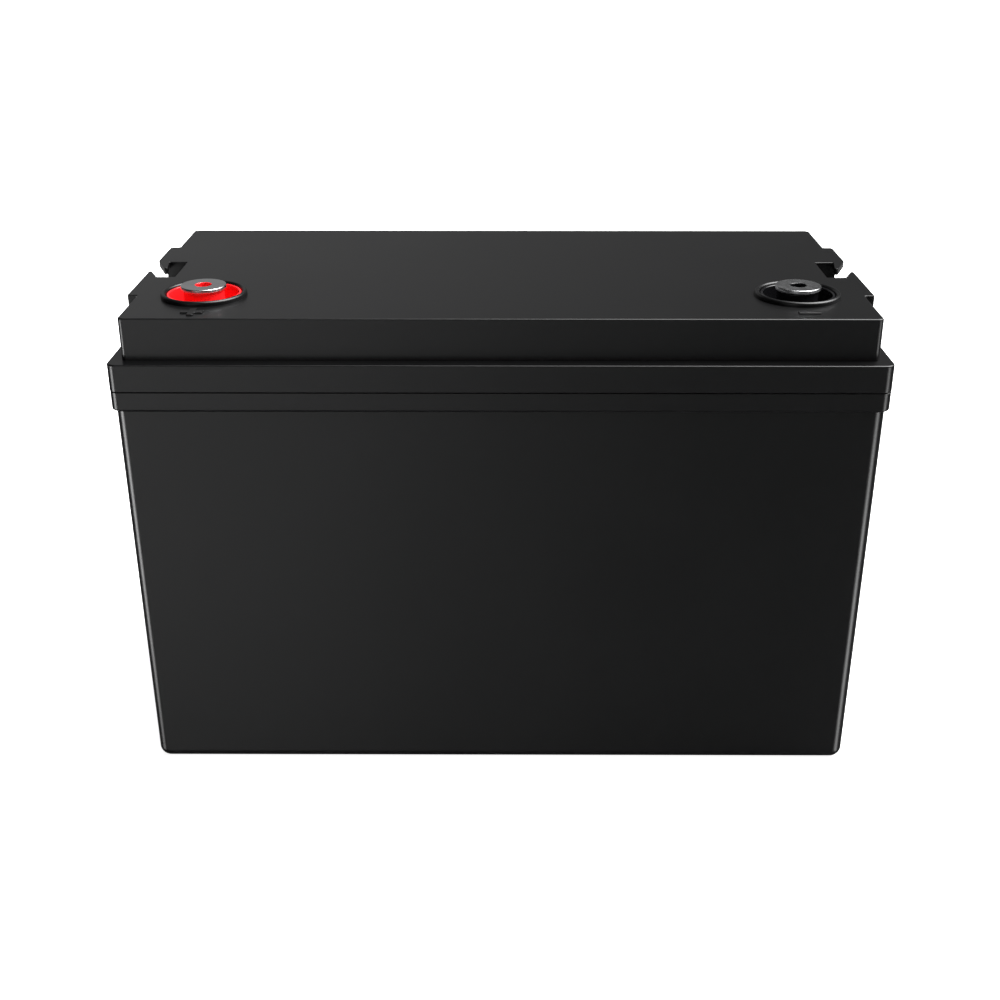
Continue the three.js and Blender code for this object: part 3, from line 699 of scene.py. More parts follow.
def terminal_cup(name, x, y, slot):
    """A moulded cup in the lid's well, with a collar in its middle for the insert."""
    low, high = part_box(name + "_terminal_cup")
    outer = high.x - x
    groove = outer - 1.5 * MM
    floor = low.z + CUP_FLOOR
    rim = LID_TOP + CUP_RIM
    seal_low, seal_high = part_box(name + "_terminal_seal")
    groove_low = seal_low.z - 0.3 * MM
    groove_high = seal_high.z + 0.3 * MM
    profile = soft_profile([
        (STUD, low.z, 0.3 * MM), (outer, low.z, 0.6 * MM),
        (outer, groove_low, 0.1 * MM), (groove, groove_low, 0.2 * MM),
        (groove, groove_high, 0.2 * MM), (outer, groove_high, 0.1 * MM),
        (outer, rim, 0.55 * MM), (outer - CUP_WALL, rim, 0.55 * MM),
        (outer - CUP_WALL, floor, 1.2 * MM), (COLLAR, floor, 1.0 * MM),
        (COLLAR, high.z, 0.4 * MM), (STUD, high.z, 0.2 * MM),
    ])
    add(name + "_insulator", moved(turned(profile), x, y), slot, name + "_terminal_cup")


def terminal_insert(name, x, y, lining):
    """The metal insert: a flat flanged head and a plain bore, drawn without its thread."""
    low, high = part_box(name + "_terminal_insert")
    head = high.x - x
    under_head = high.z - HEAD_TALL
    bore_floor = low.z + BORE_FLOOR
    profile = solid_profile([
        (SHANK, low.z, 0.6 * MM), (SHANK, under_head, 0.3 * MM),
        (head, under_head, 0.25 * MM), (head, high.z, 0.35 * MM),
        (BORE, high.z, 0.45 * MM), (BORE, bore_floor, 0.3 * MM),
    ], 5)
    mesh = moved(turned(profile), x, y)
    insert = add(name + "_insert", mesh, "terminal_metal", name + "_terminal_insert", also=[lining])
    for face in insert.data.polygons:
        out = math.hypot(face.center.x - x, face.center.y - y)
        if out < BORE + 0.3 * MM and face.center.z > bore_floor:
            face.material_index = 1


def terminals():
    for name, side, x, y in terminal_places():
        slot = "red_plastic" if side < 0 else "black_plastic"
        terminal_cup(name, x, y, slot)
        terminal_insert(name, x, y, slot)


# -------- shapes for the inside


def extruded(walk, low, high, edge=0.0, steps=3):
    """A straight solid on a walk, with the edges of both its end faces rounded."""
    rings = [ring_of(walk, low + edge * (1 - c), edge * (1 - s)) for s, c in quarter(steps)]
    rings += [ring_of(walk, high - edge * (1 - s), edge * (1 - c)) for s, c in quarter(steps)]
    return skin(rings)


def along_x(mesh):
    """Turns a shape so that its X, Y and Z become Y, Z and X."""
    turn = Matrix(((0, 0, 1, 0), (1, 0, 0, 0), (0, 1, 0, 0), (0, 0, 0, 1)))
    bmesh.ops.transform(mesh, matrix=turn, verts=mesh.verts)
    return mesh


def along_y(mesh):
    """Turns a shape so that its X, Y and Z become Z, X and Y."""
    turn = Matrix(((0, 1, 0, 0), (0, 0, 1, 0), (1, 0, 0, 0), (0, 0, 0, 1)))
    bmesh.ops.transform(mesh, matrix=turn, verts=mesh.verts)
    return mesh


def painted(mesh, index):
    """Gives a shape another of its piece's materials."""
    for face in mesh.faces:
        face.material_index = index
    return mesh


def together(meshes):
    """One mesh of several closed ones."""
    whole = bmesh.new()
    for mesh in meshes:
        bmesh.ops.recalc_face_normals(mesh, faces=mesh.faces)
        data = bpy.data.meshes.new("share")
        mesh.to_mesh(data)
        mesh.free()
        whole.from_mesh(data)
        bpy.data.meshes.remove(data)
    return whole


def solid_profile(corners, steps=4):
    """A rounded turned outline that is solid to its axis, from its bottom corner to its top one."""
    low, high = corners[0][1], corners[-1][1]
    walk = soft_profile([(0, low, 0), *corners, (0, high, 0)], steps)
    return [(0, low)] + [point for point in walk if point[0] > 1e-6] + [(0, high)]


def ridges(radius, low, high, pitch, depth):
    """(radius, height) points of a thread's crests and roots."""
    points = []
    for step in range(int((high - low) / pitch)):
        height = low + step * pitch
        points += [(radius - depth, height), (radius, height + pitch / 2)]
    return points + [(radius - depth, high)]


def circle(radius, height):
    return [(radius * math.cos(turn), radius * math.sin(turn), height) for turn in turns(HEX_SIDES)]


def hex_ring(corner, height, drop):
    """A chamfered hexagon's outline: drop is 1 on top and -1 below."""
    flat = corner * math.cos(math.pi / 6)
    ring = []
    for turn in turns(HEX_SIDES):
        reach = flat / math.cos(turn % (math.pi / 3) - math.pi / 6)
        fall = drop * (reach - 0.95 * flat) * 0.5
        ring.append((reach * math.cos(turn), reach * math.sin(turn), height - fall))
    return ring


def hex_rings(corner, low, high):
    flat = corner * math.cos(math.pi / 6) * 0.95
    return [circle(flat, low), hex_ring(corner, low, -1), hex_ring(corner, high, 1), circle(flat, high)]


def hex_nut(corner, bore, low, high):
    lead_in = 0.5 * MM
    thread = ridges(bore + THREAD_DEEP, low + lead_in, high - lead_in, THREAD_PITCH, THREAD_DEEP)
    wall = [circle(radius, height) for radius, height in reversed(thread)]
    ends = [circle(bore + lead_in, low), *hex_rings(corner, low, high), circle(bore + lead_in, high)]
    return skin(ends + wall, closed=True)


def smooth_path(points, steps=8):
    """A centripetal Catmull-Rom curve through points, in steps between each two."""
    points = [Vector(point) for point in points]
    ends = [2 * points[0] - points[1], *points, 2 * points[-1] - points[-2]]
    path = []
    for i in range(len(points) - 1):
        four = ends[i:i + 4]
        gaps = [(b - a).length ** 0.5 for a, b in zip(four, four[1:])]
        leave = slope(*four[:3], *gaps[:2]) * gaps[1]
        arrive = slope(*four[1:], *gaps[1:]) * gaps[1]
        for step in range(steps):
            t = step / steps
            start_share = 2 * t ** 3 - 3 * t ** 2 + 1
            bend = leave * (t ** 3 - 2 * t ** 2 + t) + arrive * (t ** 3 - t ** 2)
            path.append(four[1] * start_share + four[2] * (1 - start_share) + bend)
    return path + [points[-1]]


def slope(a, b, c, gap_before, gap_after):
    """The direction a centripetal curve takes through b."""
    return (b - a) / gap_before - (c - a) / (gap_before + gap_after) + (c - b) / gap_after


def swept(path, radius, sides=24):
    """A round bar along a path; radius is one value, or one for each point of the path."""
    radii = radius if isinstance(radius, list) else [radius] * len(path)
    before = [path[0], *path[:-1]]
    after = [*path[1:], path[-1]]
    side = (after[0] - path[0]).orthogonal().normalized()
    rings = []
    for start, point, end, reach in zip(before, path, after, radii):
        ahead = (end - start).normalized()
        side = (side - ahead * side.dot(ahead)).normalized()
        across = ahead.cross(side)
        around = [side * math.cos(a) + across * math.sin(a) for a in turns(sides)]
        rings.append([tuple(point + out * reach) for out in around])
    return skin(rings)


def middle_of(node):
    low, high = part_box(node)
    return (low + high) / 2


def reach_of(node):
    """How far from the case's middle a node starts and ends along X."""
    low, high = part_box(node)
    return sorted((abs(low.x), abs(high.x)))


# -------- seals and terminal fasteners


def lid_seal():
    """The bead in the joint between tub and lid, round in section."""
    low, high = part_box("lid_seal")
    radius = (high.z - low.z) / 2
    middle = (low.z + high.z) / 2
    walk = rectangle(Vector((high.x - radius, high.y - radius)), 2.7 * MM)
    rings = [ring_of(walk, middle + radius * math.sin(a), -radius * math.cos(a)) for a in turns(12)]
    add("lid_bead", skin(rings, closed=True), "seal_rubber", "lid_seal")


def terminal_seal(name, x, y):
    low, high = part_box(name + "_terminal_seal")
    radius = (high.z - low.z) / 2
    middle = (low.z + high.z) / 2
    reach = high.x - x - radius
    section = [(reach + radius * math.cos(a), middle + radius * math.sin(a)) for a in turns(16)]
    add(name + "_o_ring", moved(turned(section), x, y), "seal_rubber", name + "_terminal_seal")


def terminal_lug(name, x, y):
    """A ring lug: a flat tongue round the stud, running into a crimped barrel."""
    low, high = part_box(name + "_terminal_lug")
    reach = 11 * MM
    neck_half = 7 * MM
    neck_end = 22 * MM
    barrel = (high.z - low.z) / 2
    middle = (low.z + high.z) / 2
    under, top = middle - LUG_THICK / 2, middle + LUG_THICK / 2
    ring = turned(solid_profile([(reach, under, 0.3 * MM), (reach, top, 0.3 * MM)]))
    neck = extruded(filleted([
        (neck_half, 0, 0.5 * MM), (neck_half, neck_end, 3 * MM),
        (-neck_half, neck_end, 3 * MM), (-neck_half, 0, 0.5 * MM),
    ], 5), under, top, 0.3 * MM)
    lug = carve(new_object(name + "_ring_lug", ring), [
        ("UNION", neck),
        ("UNION", moved(along_y(crimp_barrel(barrel, 20 * MM, high.y - y)), z=middle)),
        ("DIFFERENCE", plug(STUD, low.z, high.z)),
    ])
    lug.data.transform(Matrix.Translation((x, y, 0)))
    finish_piece(lug, "tinned_copper", name + "_terminal_lug")


def crimp_barrel(radius, start, end):
    """A barrel along Z with two rings of crimp dents and an open mouth at its end."""
    third = (end - start) / 3
    dent = radius - 0.6 * MM
    wall = radius - 1.1 * MM
    profile = [(radius - 1.2 * MM, start, 0.6 * MM), (radius, start + 1 * MM, 0.5 * MM)]
    for step in (1, 2):
        middle = start + third * step
        profile += [
            (radius, middle - 1.6 * MM, 0.4 * MM), (dent, middle - 0.9 * MM, 0.3 * MM),
            (dent, middle + 0.9 * MM, 0.3 * MM), (radius, middle + 1.6 * MM, 0.4 * MM),
        ]
    profile += [(radius, end, 0.3 * MM), (wall, end, 0.3 * MM), (wall, end - 2 * MM, 0.3 * MM)]
    return turned(solid_profile(profile), 32)


def terminal_washer(name, x, y):
    low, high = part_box(name + "_terminal_washer")
    outer = high.x - x
    ring = turned(soft_profile([
        (STUD, low.z, 0.2 * MM), (outer, low.z, 0.35 * MM),
        (outer, high.z, 0.35 * MM), (STUD, high.z, 0.2 * MM),
    ]))
    add(name + "_washer", moved(ring, x, y), "zinc_steel", name + "_terminal_washer")


def terminal_nut(name, x, y):
    low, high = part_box(name + "_terminal_nut")
    nut = hex_nut(high.x - x, STUD, low.z, high.z)
    add(name + "_nut", moved(nut, x, y), "zinc_steel", name + "_terminal_nut")


def terminal_fasteners():
    for name, _, x, y in terminal_places():
        for part in (terminal_seal, terminal_lug, terminal_washer, terminal_nut):
            part(name, x, y)


# -------- cell stack


def cell(index):
    """A film-wrapped can with its bare top plate, a vent and a gasket round each post."""
    low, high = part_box(f"cell_{index}")
    walk = local_outline(low, high, 3 * MM)
    bottom_round = 1.2 * MM
    top_round = 0.8 * MM
    rings = [ring_of(walk, low.z + bottom_round * (1 - c), bottom_round * (1 - s)) for s, c in quarter(4)]
    rings += [ring_of(walk, high.z - top_round * (1 - s), top_round * (1 - c)) for s, c in quarter(4)]
    plate = high.z - PLATE_STEP
    rings += [ring_of(walk, high.z, FOLD), ring_of(walk, plate, FOLD)]
    can = skin(rings)
    for face in can.faces:
        if len(face.verts) > 4 and face.calc_center_median().z > high.z - 1 * MM:
            face.material_index = 1
    x, y, _ = middle_of(f"cell_{index}")
    under = plate - PLATE_STEP
    vent = extruded(filleted(bar_corners(*VENT, 0), 8), under, plate + 0.1 * MM)
    shapes = [can, painted(moved(vent, x, y), 1)]
    inner, outer = GASKET
    for side in (-1, 1):
        gasket = turned(soft_profile([
            (inner, under, 0.05 * MM), (outer, under, 0.05 * MM),
            (outer, plate + 0.2 * MM, 0.15 * MM), (inner, plate + 0.2 * MM, 0.1 * MM),
        ], 3), 48)
        shapes.append(painted(moved(gasket, x, y + side * POST_Y), 2))
    also = ("aluminium", "component_black")
    add(f"wrapped_cell_{index}", together(shapes), "cell_wrap", f"cell_{index}", also=also)


def cell_post(index, pole, slot):
    """A welded post with a chamfered rim and the step that the weld runs round."""
    node = f"cell_{index}_{pole}_post"
    low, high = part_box(node)
    middle = (low + high) / 2
    reach = (high.x - low.x) / 2
    step = high.z - 0.4 * MM
    post = turned(solid_profile([
        (reach, low.z, 0.3 * MM), (reach, high.z, 0.5 * MM),
        (5.6 * MM, high.z, 0.15 * MM), (5.2 * MM, step, 0.15 * MM),
        (4.4 * MM, step, 0.15 * MM), (4 * MM, high.z, 0.15 * MM),
    ], 3), 48)
    add(f"cell_{index}_{pole}_terminal", moved(post, middle.x, middle.y), slot, node)


def weld_bead(x, y, height):
    """The raised ring of a laser weld on a bar."""
    section = [(5 * MM + 0.5 * MM * math.cos(a), height + 0.12 * MM * math.sin(a)) for a in turns(10)]
    return moved(turned(section, 48), x, y)


def busbar(node, post_nodes):
    low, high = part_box(node)
    bar = extruded(local_outline(low, high, 3 * MM), low.z, high.z, 0.3 * MM)
    beads = [weld_bead(middle_of(post).x, middle_of(post).y, high.z) for post in post_nodes]
    add("series_" + node, together([bar, *beads]), "copper", node)


def cell_stack():
    for index in range(1, 5):
        cell(index)
        cell_post(index, "positive", "aluminium")
        cell_post(index, "negative", "copper")
    for index in range(1, 4):
        posts = [f"cell_{index}_negative_post", f"cell_{index + 1}_positive_post"]
        busbar(f"busbar_{index}_{index + 1}", posts)
    for node in ("cell_spacer_1", "cell_spacer_2", "cell_spacer_3"):
        sheet(node, 0.2 * MM)
    for node in ("end_plate_left", "end_plate_right", "busbar_cover_board"):
        sheet(node, 0.35 * MM)


def sheet(node, edge):
    """A sawn sheet of fibre board with its edges broken."""
    add(node + "_sheet", brick(*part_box(node), edge), "fibre_board", node)


def stack_strap(node):
    """A flat strap round the stack, with the patch where its ends are welded."""
    low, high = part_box(node)
    walk = rectangle(Vector((high.x, high.y)), 1.4 * MM)
    thick = 0.8 * MM
    soft = 0.2 * MM
    section = (
        (low.z, soft), (low.z + soft, 0), (high.z - soft, 0), (high.z, soft),
        (high.z, thick - soft), (high.z - soft, thick), (low.z + soft, thick), (low.z, thick - soft),
    )
    band = skin([ring_of(walk, height, inset) for height, inset in section], closed=True)
    patch = brick(
        (-16 * MM, low.y - 0.15 * MM, low.z + 0.6 * MM),
        (16 * MM, low.y + 0.3 * MM, high.z - 0.6 * MM),
        0.12 * MM,
    )
    add(node + "_band", together([band, patch]), "strap_plastic", node)


# -------- take-off bars


def takeoff_hole(y, z):
    """What the clearance hole of a take-off screw cuts away."""
    return moved(along_x(plug(TAKEOFF_HOLE, 60 * MM, 120 * MM, 32)), 0, y, z)


def takeoff_bar(name, side):
    """A bar bent down over the edge of the stack, with a hole for its screw."""
    node = name + "_takeoff_bar"
    low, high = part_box(node)
    inner, outer = reach_of(node)
    walk = filleted([
        (low.z, outer - BAR_THICK, 0.5 * MM), (high.z - BAR_THICK, outer - BAR_THICK, 1.2 * MM),
        (high.z - BAR_THICK, inner, 0.5 * MM), (high.z, inner, 0.5 * MM),
        (high.z, outer, 3.2 * MM), (low.z, outer, 0.5 * MM),
    ], 6)
    middle = middle_of(name + "_takeoff_screw")
    bar = new_object(name + "_tab", along_y(extruded(walk, low.y, high.y, 0.3 * MM)))
    carve(bar, [("DIFFERENCE", takeoff_hole(middle.y, middle.z))])
    finish_piece(place_on_side(bar, side), "copper", node)


def place_on_side(piece, side):
    """Mirrors a piece that was made at the right-hand end, if it belongs at the left."""
    if side < 0:
        refill(piece, mirrored(mesh_of(piece)))
    return piece


def takeoff_lug(name, side):
    """A ring lug lying against the bar, with its barrel pointing down."""
    node = name + "_takeoff_lug"
    low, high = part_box(node)
    inner = reach_of(node)[0]
    half = 8 * MM
    middle = middle_of(name + "_takeoff_screw")
    tongue_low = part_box(name + "_takeoff_bar")[0].z - 3 * MM
    walk = filleted([
        (half, tongue_low, 1 * MM), (half, high.z, 7.4 * MM),
        (-half, high.z, 7.4 * MM), (-half, tongue_low, 1 * MM),
    ], 8)
    lug = new_object(name + "_bar_lug", along_x(extruded(walk, inner, inner + LUG_THICK, 0.3 * MM)))
    barrel = crimp_barrel(6 * MM, -(tongue_low + 2 * MM), -low.z)
    for vert in barrel.verts:
        vert.co.z = -vert.co.z
    bmesh.ops.reverse_faces(barrel, faces=barrel.faces)
    barrel = moved(barrel, inner + 4 * MM)
    carve(lug, [("UNION", barrel), ("DIFFERENCE", takeoff_hole(0, middle.z))])
    lug.data.transform(Matrix.Translation((0, middle.y, 0)))
    finish_piece(place_on_side(lug, side), "tinned_copper", node)


def takeoff_screw(name, side):
    node = name + "_takeoff_screw"
    middle = middle_of(node)
    tip, top = reach_of(node)
    under = top - 4 * MM
    shank = 3 * MM
    thread = ridges(shank, tip + 0.4 * MM, under, THREAD_PITCH, THREAD_DEEP)
    rings = [circle(shank - 0.6 * MM, tip)]
    rings += [circle(radius, height) for radius, height in thread]
    rings += hex_rings(TAKEOFF_HEX, under, top)
    screw = new_object(name + "_bar_screw", moved(along_x(skin(rings)), 0, middle.y, middle.z))
    finish_piece(place_on_side(screw, side), "zinc_steel", node)


def takeoff_nut(name, side):
    node = name + "_takeoff_nut"
    _, y, z = middle_of(node)
    nut = along_x(hex_nut(TAKEOFF_HEX, TAKEOFF_HOLE, *reach_of(node)))
    piece = new_object(name + "_bar_nut", moved(nut, 0, y, z))
    finish_piece(place_on_side(piece, side), "zinc_steel", node)


def takeoffs():
    for name, side in (("positive", -1), ("negative", 1)):
        for part in (takeoff_bar, takeoff_lug, takeoff_screw, takeoff_nut):
            part(name, side)


# -------- foam


def foam_block(low, high, corner, crown):
    """A rounded foam block, its faces bulging by crown towards the box it fills."""
    low, high = Vector(low), Vector(high)
    half = (high - low) / 2
    middle = (high + low) / 2
    slim = Vector([max(size - crown, size * 0.6) for size in half])
    mesh = bmesh.new()
    bmesh.ops.create_cube(mesh, size=2)
    bmesh.ops.subdivide_edges(mesh, edges=mesh.edges[:], cuts=15, use_grid_fill=True)
    for vert in mesh.verts:
        share = Vector([math.sin(value * math.pi / 2) for value in vert.co])
        out = Vector([part * size for part, size in zip(share, slim)])
        radius = min(corner, *slim)
        core = Vector([max(-size + radius, min(size - radius, value)) for value, size in zip(out, slim)])
        off = out - core
        if off.length > 1e-9:
            out = core + off.normalized() * radius
        swell = [(1 - share[(i + 1) % 3] ** 2) * (1 - share[(i + 2) % 3] ** 2) for i in range(3)]
        push = [(size - small) * part * amount for size, small, part, amount in zip(half, slim, share, swell)]
        vert.co = out + Vector(push) + middle
    return mesh


def foam_pieces():
    for name, node, corner, crown in FOAM:
        piece = new_object(name, foam_block(*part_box(node), corner * MM, crown * MM))
        finish_piece(piece, "foam", node, sharp=60)


# -------- management board


def upright_disc(radius, start, end, low_edge, high_edge):
    """A disc whose axis runs along X."""
    return along_x(turned(solid_profile([(radius, start, low_edge), (radius, end, high_edge)]), 32))


def bms_board():
    """The board, with a row of parts above its heat sink and a screw pad at each corner."""
    low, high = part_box("bms_board")
    walk = local_outline((low.y, low.z), (high.y, high.z), 2 * MM, 5)
    shapes = [along_x(extruded(walk, low.x, high.x, 0.1 * MM))]
    face = high.x - 0.05 * MM
    sink_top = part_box("bms_heat_sink")[1].z
    for y, tall, wide, deep in CHIPS:
        start = (face, y * MM, sink_top + 3 * MM)
        end = (face + deep * MM, (y + wide) * MM, sink_top + (3 + tall) * MM)
        shapes.append(painted(brick(start, end, 0.2 * MM), 1))
    for y, radius, deep in CAPACITORS:
        can = upright_disc(radius * MM, face, face + deep * MM, 0.2 * MM, 0.5 * MM)
        shapes.append(painted(moved(can, 0, y * MM, sink_top + 8 * MM), 2))
    for y in (low.y + 4 * MM, high.y - 4 * MM):
        pad = upright_disc(2.6 * MM, face, face + 0.15 * MM, 0.05 * MM, 0.05 * MM)
        shapes.append(painted(moved(pad, 0, y, high.z - 4 * MM), 2))
    also = ("component_black", "aluminium")
    add("management_board", together(shapes), "circuit_board", "bms_board", also=also)


def heat_sink():
    """An extruded heat sink: a plate with a row of fins, rounded at their tips."""
    low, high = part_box("bms_heat_sink")
    plate = low.x + 3 * MM
    fin = 3 * MM
    fins = 9
    root = 0.8 * MM
    pitch = (high.y - low.y - fin) / (fins - 1)
    corners = [(low.x, low.y, 0.3 * MM)]
    for i in range(fins):
        y = low.y + i * pitch
        if i:
            corners.append((plate, y, root))
        corners += [(high.x, y, 1.2 * MM), (high.x, y + fin, 1.2 * MM)]
        if i < fins - 1:
            corners.append((plate, y + fin, root))
    corners.append((low.x, high.y, 0.3 * MM))
    sink = extruded(filleted(corners, 4), low.z, high.z, 0.15 * MM)
    add("heat_sink", sink, "aluminium", "bms_heat_sink")


def balance_connector():
    """A pin header: an open nylon box with five pins, for the harness's plug."""
    low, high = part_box("balance_connector")
    wall = Vector((0.9, 0.9, 0)) * MM
    middle = (low + high) / 2
    half_pin = 0.32 * MM
    pin_pitch = 2.54 * MM
    box = extruded(local_outline(low, high, 0.4 * MM), low.z, high.z, 0.2 * MM)
    shell = new_object("balance_header", box)
    pocket = local_outline(low + wall, high - wall, 0.2 * MM)
    carve(shell, [("DIFFERENCE", extruded(pocket, high.z - 6 * MM, high.z + 1 * MM))])
    shapes = [mesh_of(shell)]
    for i in range(5):
        y = middle.y + (i - 2) * pin_pitch
        start = (middle.x - half_pin, y - half_pin, low.z + 1 * MM)
        end = (middle.x + half_pin, y + half_pin, high.z - 1 * MM)
        shapes.append(painted(brick(start, end, 0.1 * MM), 1))
    refill(shell, together(shapes))
    finish_piece(shell, "connector_plastic", "balance_connector")
    shell.data.materials.append(LOOKS["tinned_copper"])


def temperature_probe():
    """A small sealed bead lying on a cell."""
    low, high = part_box("temperature_probe")
    middle = (low + high) / 2
    reach = (high.x - low.x) / 2
    ends = [(reach, low.y - middle.y, 1.3 * MM), (reach, high.y - middle.y, 0.6 * MM)]
    bead = moved(along_y(turned(solid_profile(ends), 32)), *middle)
    add("probe_bead", bead, "connector_plastic", "temperature_probe")


# -------- leads


def balance_harness():
    """Five thin wires in a bundle over the cells, each leaving it for its own bar."""
    header = middle_of("balance_connector")
    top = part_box("balance_connector")[1].z
    bundle_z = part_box("cell_1")[1].z + 2.2 * MM
    bar_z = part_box("busbar_1_2")[0].z + 1 * MM
    run = [
        (header.x, header.y, top + 0.3 * MM), (header.x, header.y, 140 * MM),
        (header.x, 13 * MM, 170 * MM), (header.x - 2 * MM, BUNDLE_Y, 192 * MM),
        (80 * MM, BUNDLE_Y, bundle_z), (60 * MM, BUNDLE_Y, bundle_z),
    ]
    wires = []
    for (node, side), turn in zip(HARNESS_ENDS, turns(len(HARNESS_ENDS))):
        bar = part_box(node)
        x = middle_of(node).x if "post" in node else bar[0].x + 10 * MM
        edge = bar[1].y if side < 0 else bar[0].y
        a, b = math.cos(turn) * MM, math.sin(turn) * MM
        points = [Vector(point) + Vector((a, b, a)) for point in run]
        if x < 50 * MM:
            points.append(Vector((x + 6 * MM, BUNDLE_Y + b, bundle_z + a)))
        points += [
            Vector((x, BUNDLE_Y + side * 4 * MM, bundle_z + 0.4 * MM)),
            Vector((x, edge - side * 4.3 * MM, bar_z)),
            Vector((x, edge - side * 0.3 * MM, bar_z)),
        ]
        wires.append(swept(smooth_path(points), 0.65 * MM, 12))
    inner, outer, half = 1.75 * MM, 2.1 * MM, 1 * MM
    for x in (70 * MM, 38 * MM, 0):
        section = ((inner, -half), (outer, -half), (outer, half), (inner, half))
        tie = turned(soft_profile([(radius, z, 0.1 * MM) for radius, z in section], 3), 32)
        wires.append(moved(along_x(tie), x, BUNDLE_Y, bundle_z))
    add("sense_wires", together(wires), "black_cable", "balance_harness")


def lead(name, node, points, slot):
    """A silicone lead along its path, with a heat-shrink sleeve over each end."""
    path = smooth_path([Vector(point) * MM for point in points])
    lengths = [0]
    for a, b in zip(path, path[1:]):
        lengths.append(lengths[-1] + (b - a).length)
    radii = []
    for along in lengths:
        from_end = min(along, lengths[-1] - along)
        share = max(0, min(1, (SLEEVE_LONG - from_end) / (1.5 * MM)))
        radii.append(LEAD_RADIUS + (SLEEVE_RADIUS - LEAD_RADIUS) * share)
    add(name, swept(path, radii, 28), slot, node)


def leads():
    """The three main leads, along given paths in millimetres."""
    lug_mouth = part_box("positive_terminal_lug")[1].y / MM + 0.3
    lug_z = middle_of("positive_terminal_lug").z / MM
    terminal_x = middle_of("negative_terminal_cup").x / MM
    barrel_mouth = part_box("negative_takeoff_lug")[0].z / MM - 0.3
    barrel_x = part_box("negative_takeoff_lug")[0].x / MM + 4
    bar_y = middle_of("negative_takeoff_bar").y / MM
    on_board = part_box("bms_board")[1].x / MM + 5
    sink_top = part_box("bms_heat_sink")[1].z / MM
    lead("positive_lead", "positive_main_lead", [
        (-terminal_x, lug_mouth, lug_z), (-terminal_x, lug_mouth + 12, lug_z),
        (-129, 16, 190), (-122, 25, 172), (-112, 16, 150), (-101, -8, 137),
        (-barrel_x, -28, 136), (-barrel_x, bar_y, barrel_mouth - 4), (-barrel_x, bar_y, barrel_mouth),
    ], "red_cable")
    lead("board_lead", "stack_to_bms_lead", [
        (barrel_x, bar_y, barrel_mouth), (barrel_x, bar_y, barrel_mouth - 6),
        (on_board, -32, 130), (on_board, -30, 122), (on_board, -30, sink_top + 3),
    ], "blue_cable")
    lead("negative_lead", "negative_main_lead", [
        (on_board, 36, sink_top + 3), (on_board, 36, 124),
        (98, 38, 145), (112, 40, 168), (125, 30, 188),
        (terminal_x, lug_mouth + 14, lug_z), (terminal_x, lug_mouth, lug_z),
    ], "black_cable")


# -------- studio


def camera():
    """The viewpoint in front of the long side, looking down at the terminals."""
    data = bpy.data.cameras.new("camera")
    data.sensor_width = 36
    data.lens = 49.5
    view = bpy.data.objects.new("camera", data)
    view.location = (0.0021, -0.6307, 0.38045)
    view.rotation_euler = (math.radians(65.852), 0, math.radians(0.2327))
    bpy.context.scene.collection.objects.link(view)
    bpy.context.scene.camera = view


def studio_floor():
    """A white floor that lights the pack from below and is not mirrored in it."""
    material = new_material("studio_floor", (0.9, 0.9, 0.9), 0.9)
    surface(material, Emission_Color=(1, 1, 1, 1), Emission_Strength=0.93)
    mesh = bmesh.new()
    bmesh.ops.create_grid(mesh, x_segments=4, y_segments=4, size=12)
    floor = new_object("studio_floor", mesh)
    floor.data.materials.append(material)
    floor.location.z = -0.1 * MM
    floor.visible_glossy = False


def value_node(tree, operation, *inputs):
    """The result of a maths node of numbers or sockets."""
    node = new_node(tree, "Math", *inputs)
    node.operation = operation
    return node.outputs[0]


def fade(tree, value, half, soft):
    """1 well inside half a panel's size and 0 well outside it, with a smooth edge."""
    spread = new_node(tree, "MapRange", value, half - soft, half + soft, 1, 0)
    spread.interpolation_type = "SMOOTHSTEP"
    return spread.outputs[0]


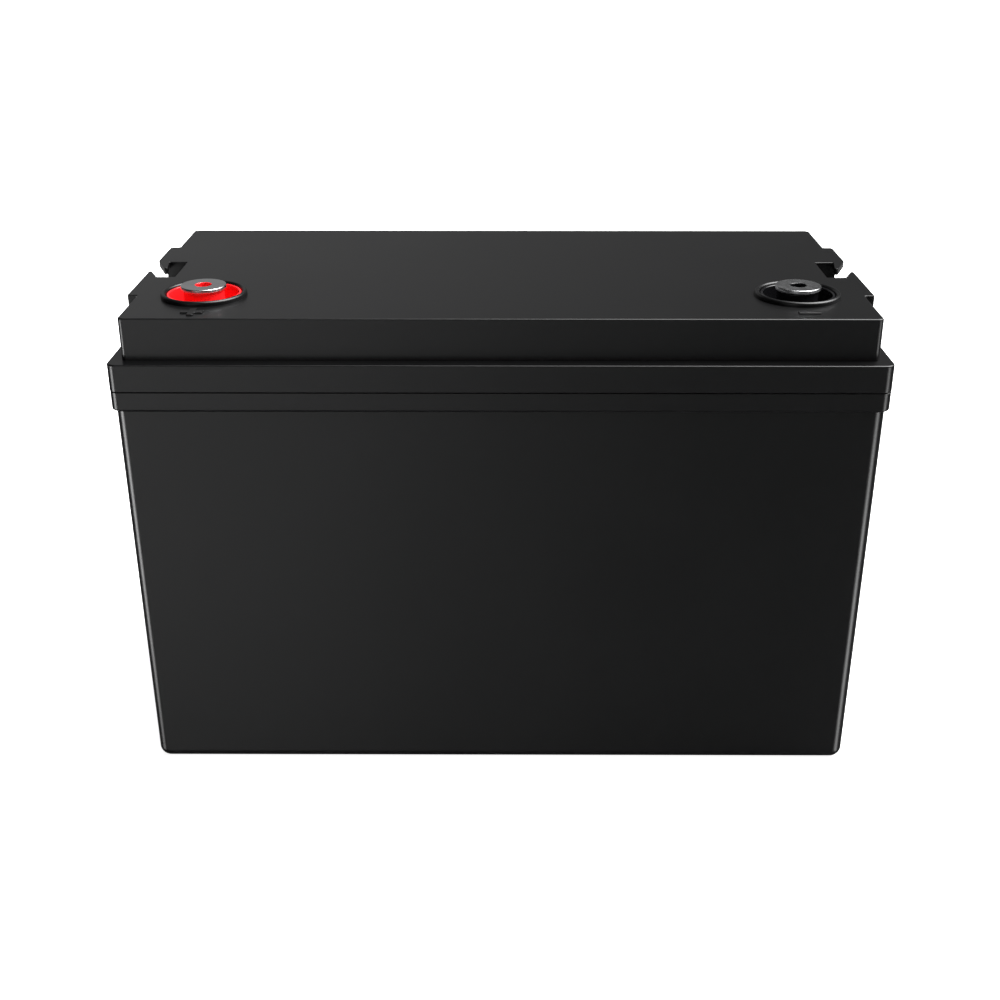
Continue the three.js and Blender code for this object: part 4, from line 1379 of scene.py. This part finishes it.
def glow(tree, azimuth, elevation, across, upright, strength):
    """The light that reaches a direction from one soft-edged panel far away."""
    shares = []
    for angle, (middle, half, soft) in ((azimuth, across), (elevation, upright)):
        off = value_node(tree, "WRAP", value_node(tree, "SUBTRACT", angle, middle), 180, -180)
        shares.append(fade(tree, value_node(tree, "ABSOLUTE", off), half, soft))
    return value_node(tree, "MULTIPLY", value_node(tree, "MULTIPLY", *shares), strength)


def overhead_glow(tree, direction, middle, half, soft, strength):
    spread = new_node(tree, "VectorMath", direction, Vector(middle).normalized())
    spread.operation = "DOT_PRODUCT"
    angle = value_node(tree, "ARCCOSINE", spread.outputs["Value"])
    off = value_node(tree, "MULTIPLY", angle, DEGREES)
    return value_node(tree, "MULTIPLY", fade(tree, off, half, soft), strength)


def studio_world():
    """White to the camera; to all else a dim room with soft panels of light."""
    world = bpy.data.worlds.new("studio")
    bpy.context.scene.world = world
    world.use_nodes = True
    tree = world.node_tree
    direction = new_node(tree, "TexCoord").outputs["Generated"]
    x, y, z = new_node(tree, "SeparateXYZ", direction).outputs
    turn = value_node(tree, "ARCTAN2", x, value_node(tree, "MULTIPLY", y, -1))
    azimuth = value_node(tree, "MULTIPLY", turn, DEGREES)
    elevation = value_node(tree, "MULTIPLY", value_node(tree, "ARCSINE", z), DEGREES)
    total = value_node(tree, "ADD", overhead_glow(tree, direction, *OVERHEAD), ROOM)
    for across, upright, strength in GLOWS:
        total = value_node(tree, "ADD", glow(tree, azimuth, elevation, across, upright, strength), total)
    room = feed(tree.nodes["Background"], Color=(1, 1, 1, 1), Strength=total)
    white = new_node(tree, "Background", Color=(1, 1, 1, 1))
    to_camera = new_node(tree, "LightPath").outputs["Is Camera Ray"]
    mix = new_node(tree, "MixShader", to_camera, room.outputs["Background"], white.outputs["Background"])
    feed(tree.nodes["World Output"], Surface=mix.outputs["Shader"])
    bpy.context.scene.view_settings.view_transform = "Standard"


# -------- the pack

camera()
case_tub()
case_lid()
terminals()
lid_seal()
terminal_fasteners()
cell_stack()
stack_strap("stack_strap_lower")
stack_strap("stack_strap_upper")
takeoffs()
foam_pieces()
bms_board()
heat_sink()
balance_connector()
temperature_probe()
balance_harness()
leads()
studio_floor()
studio_world()
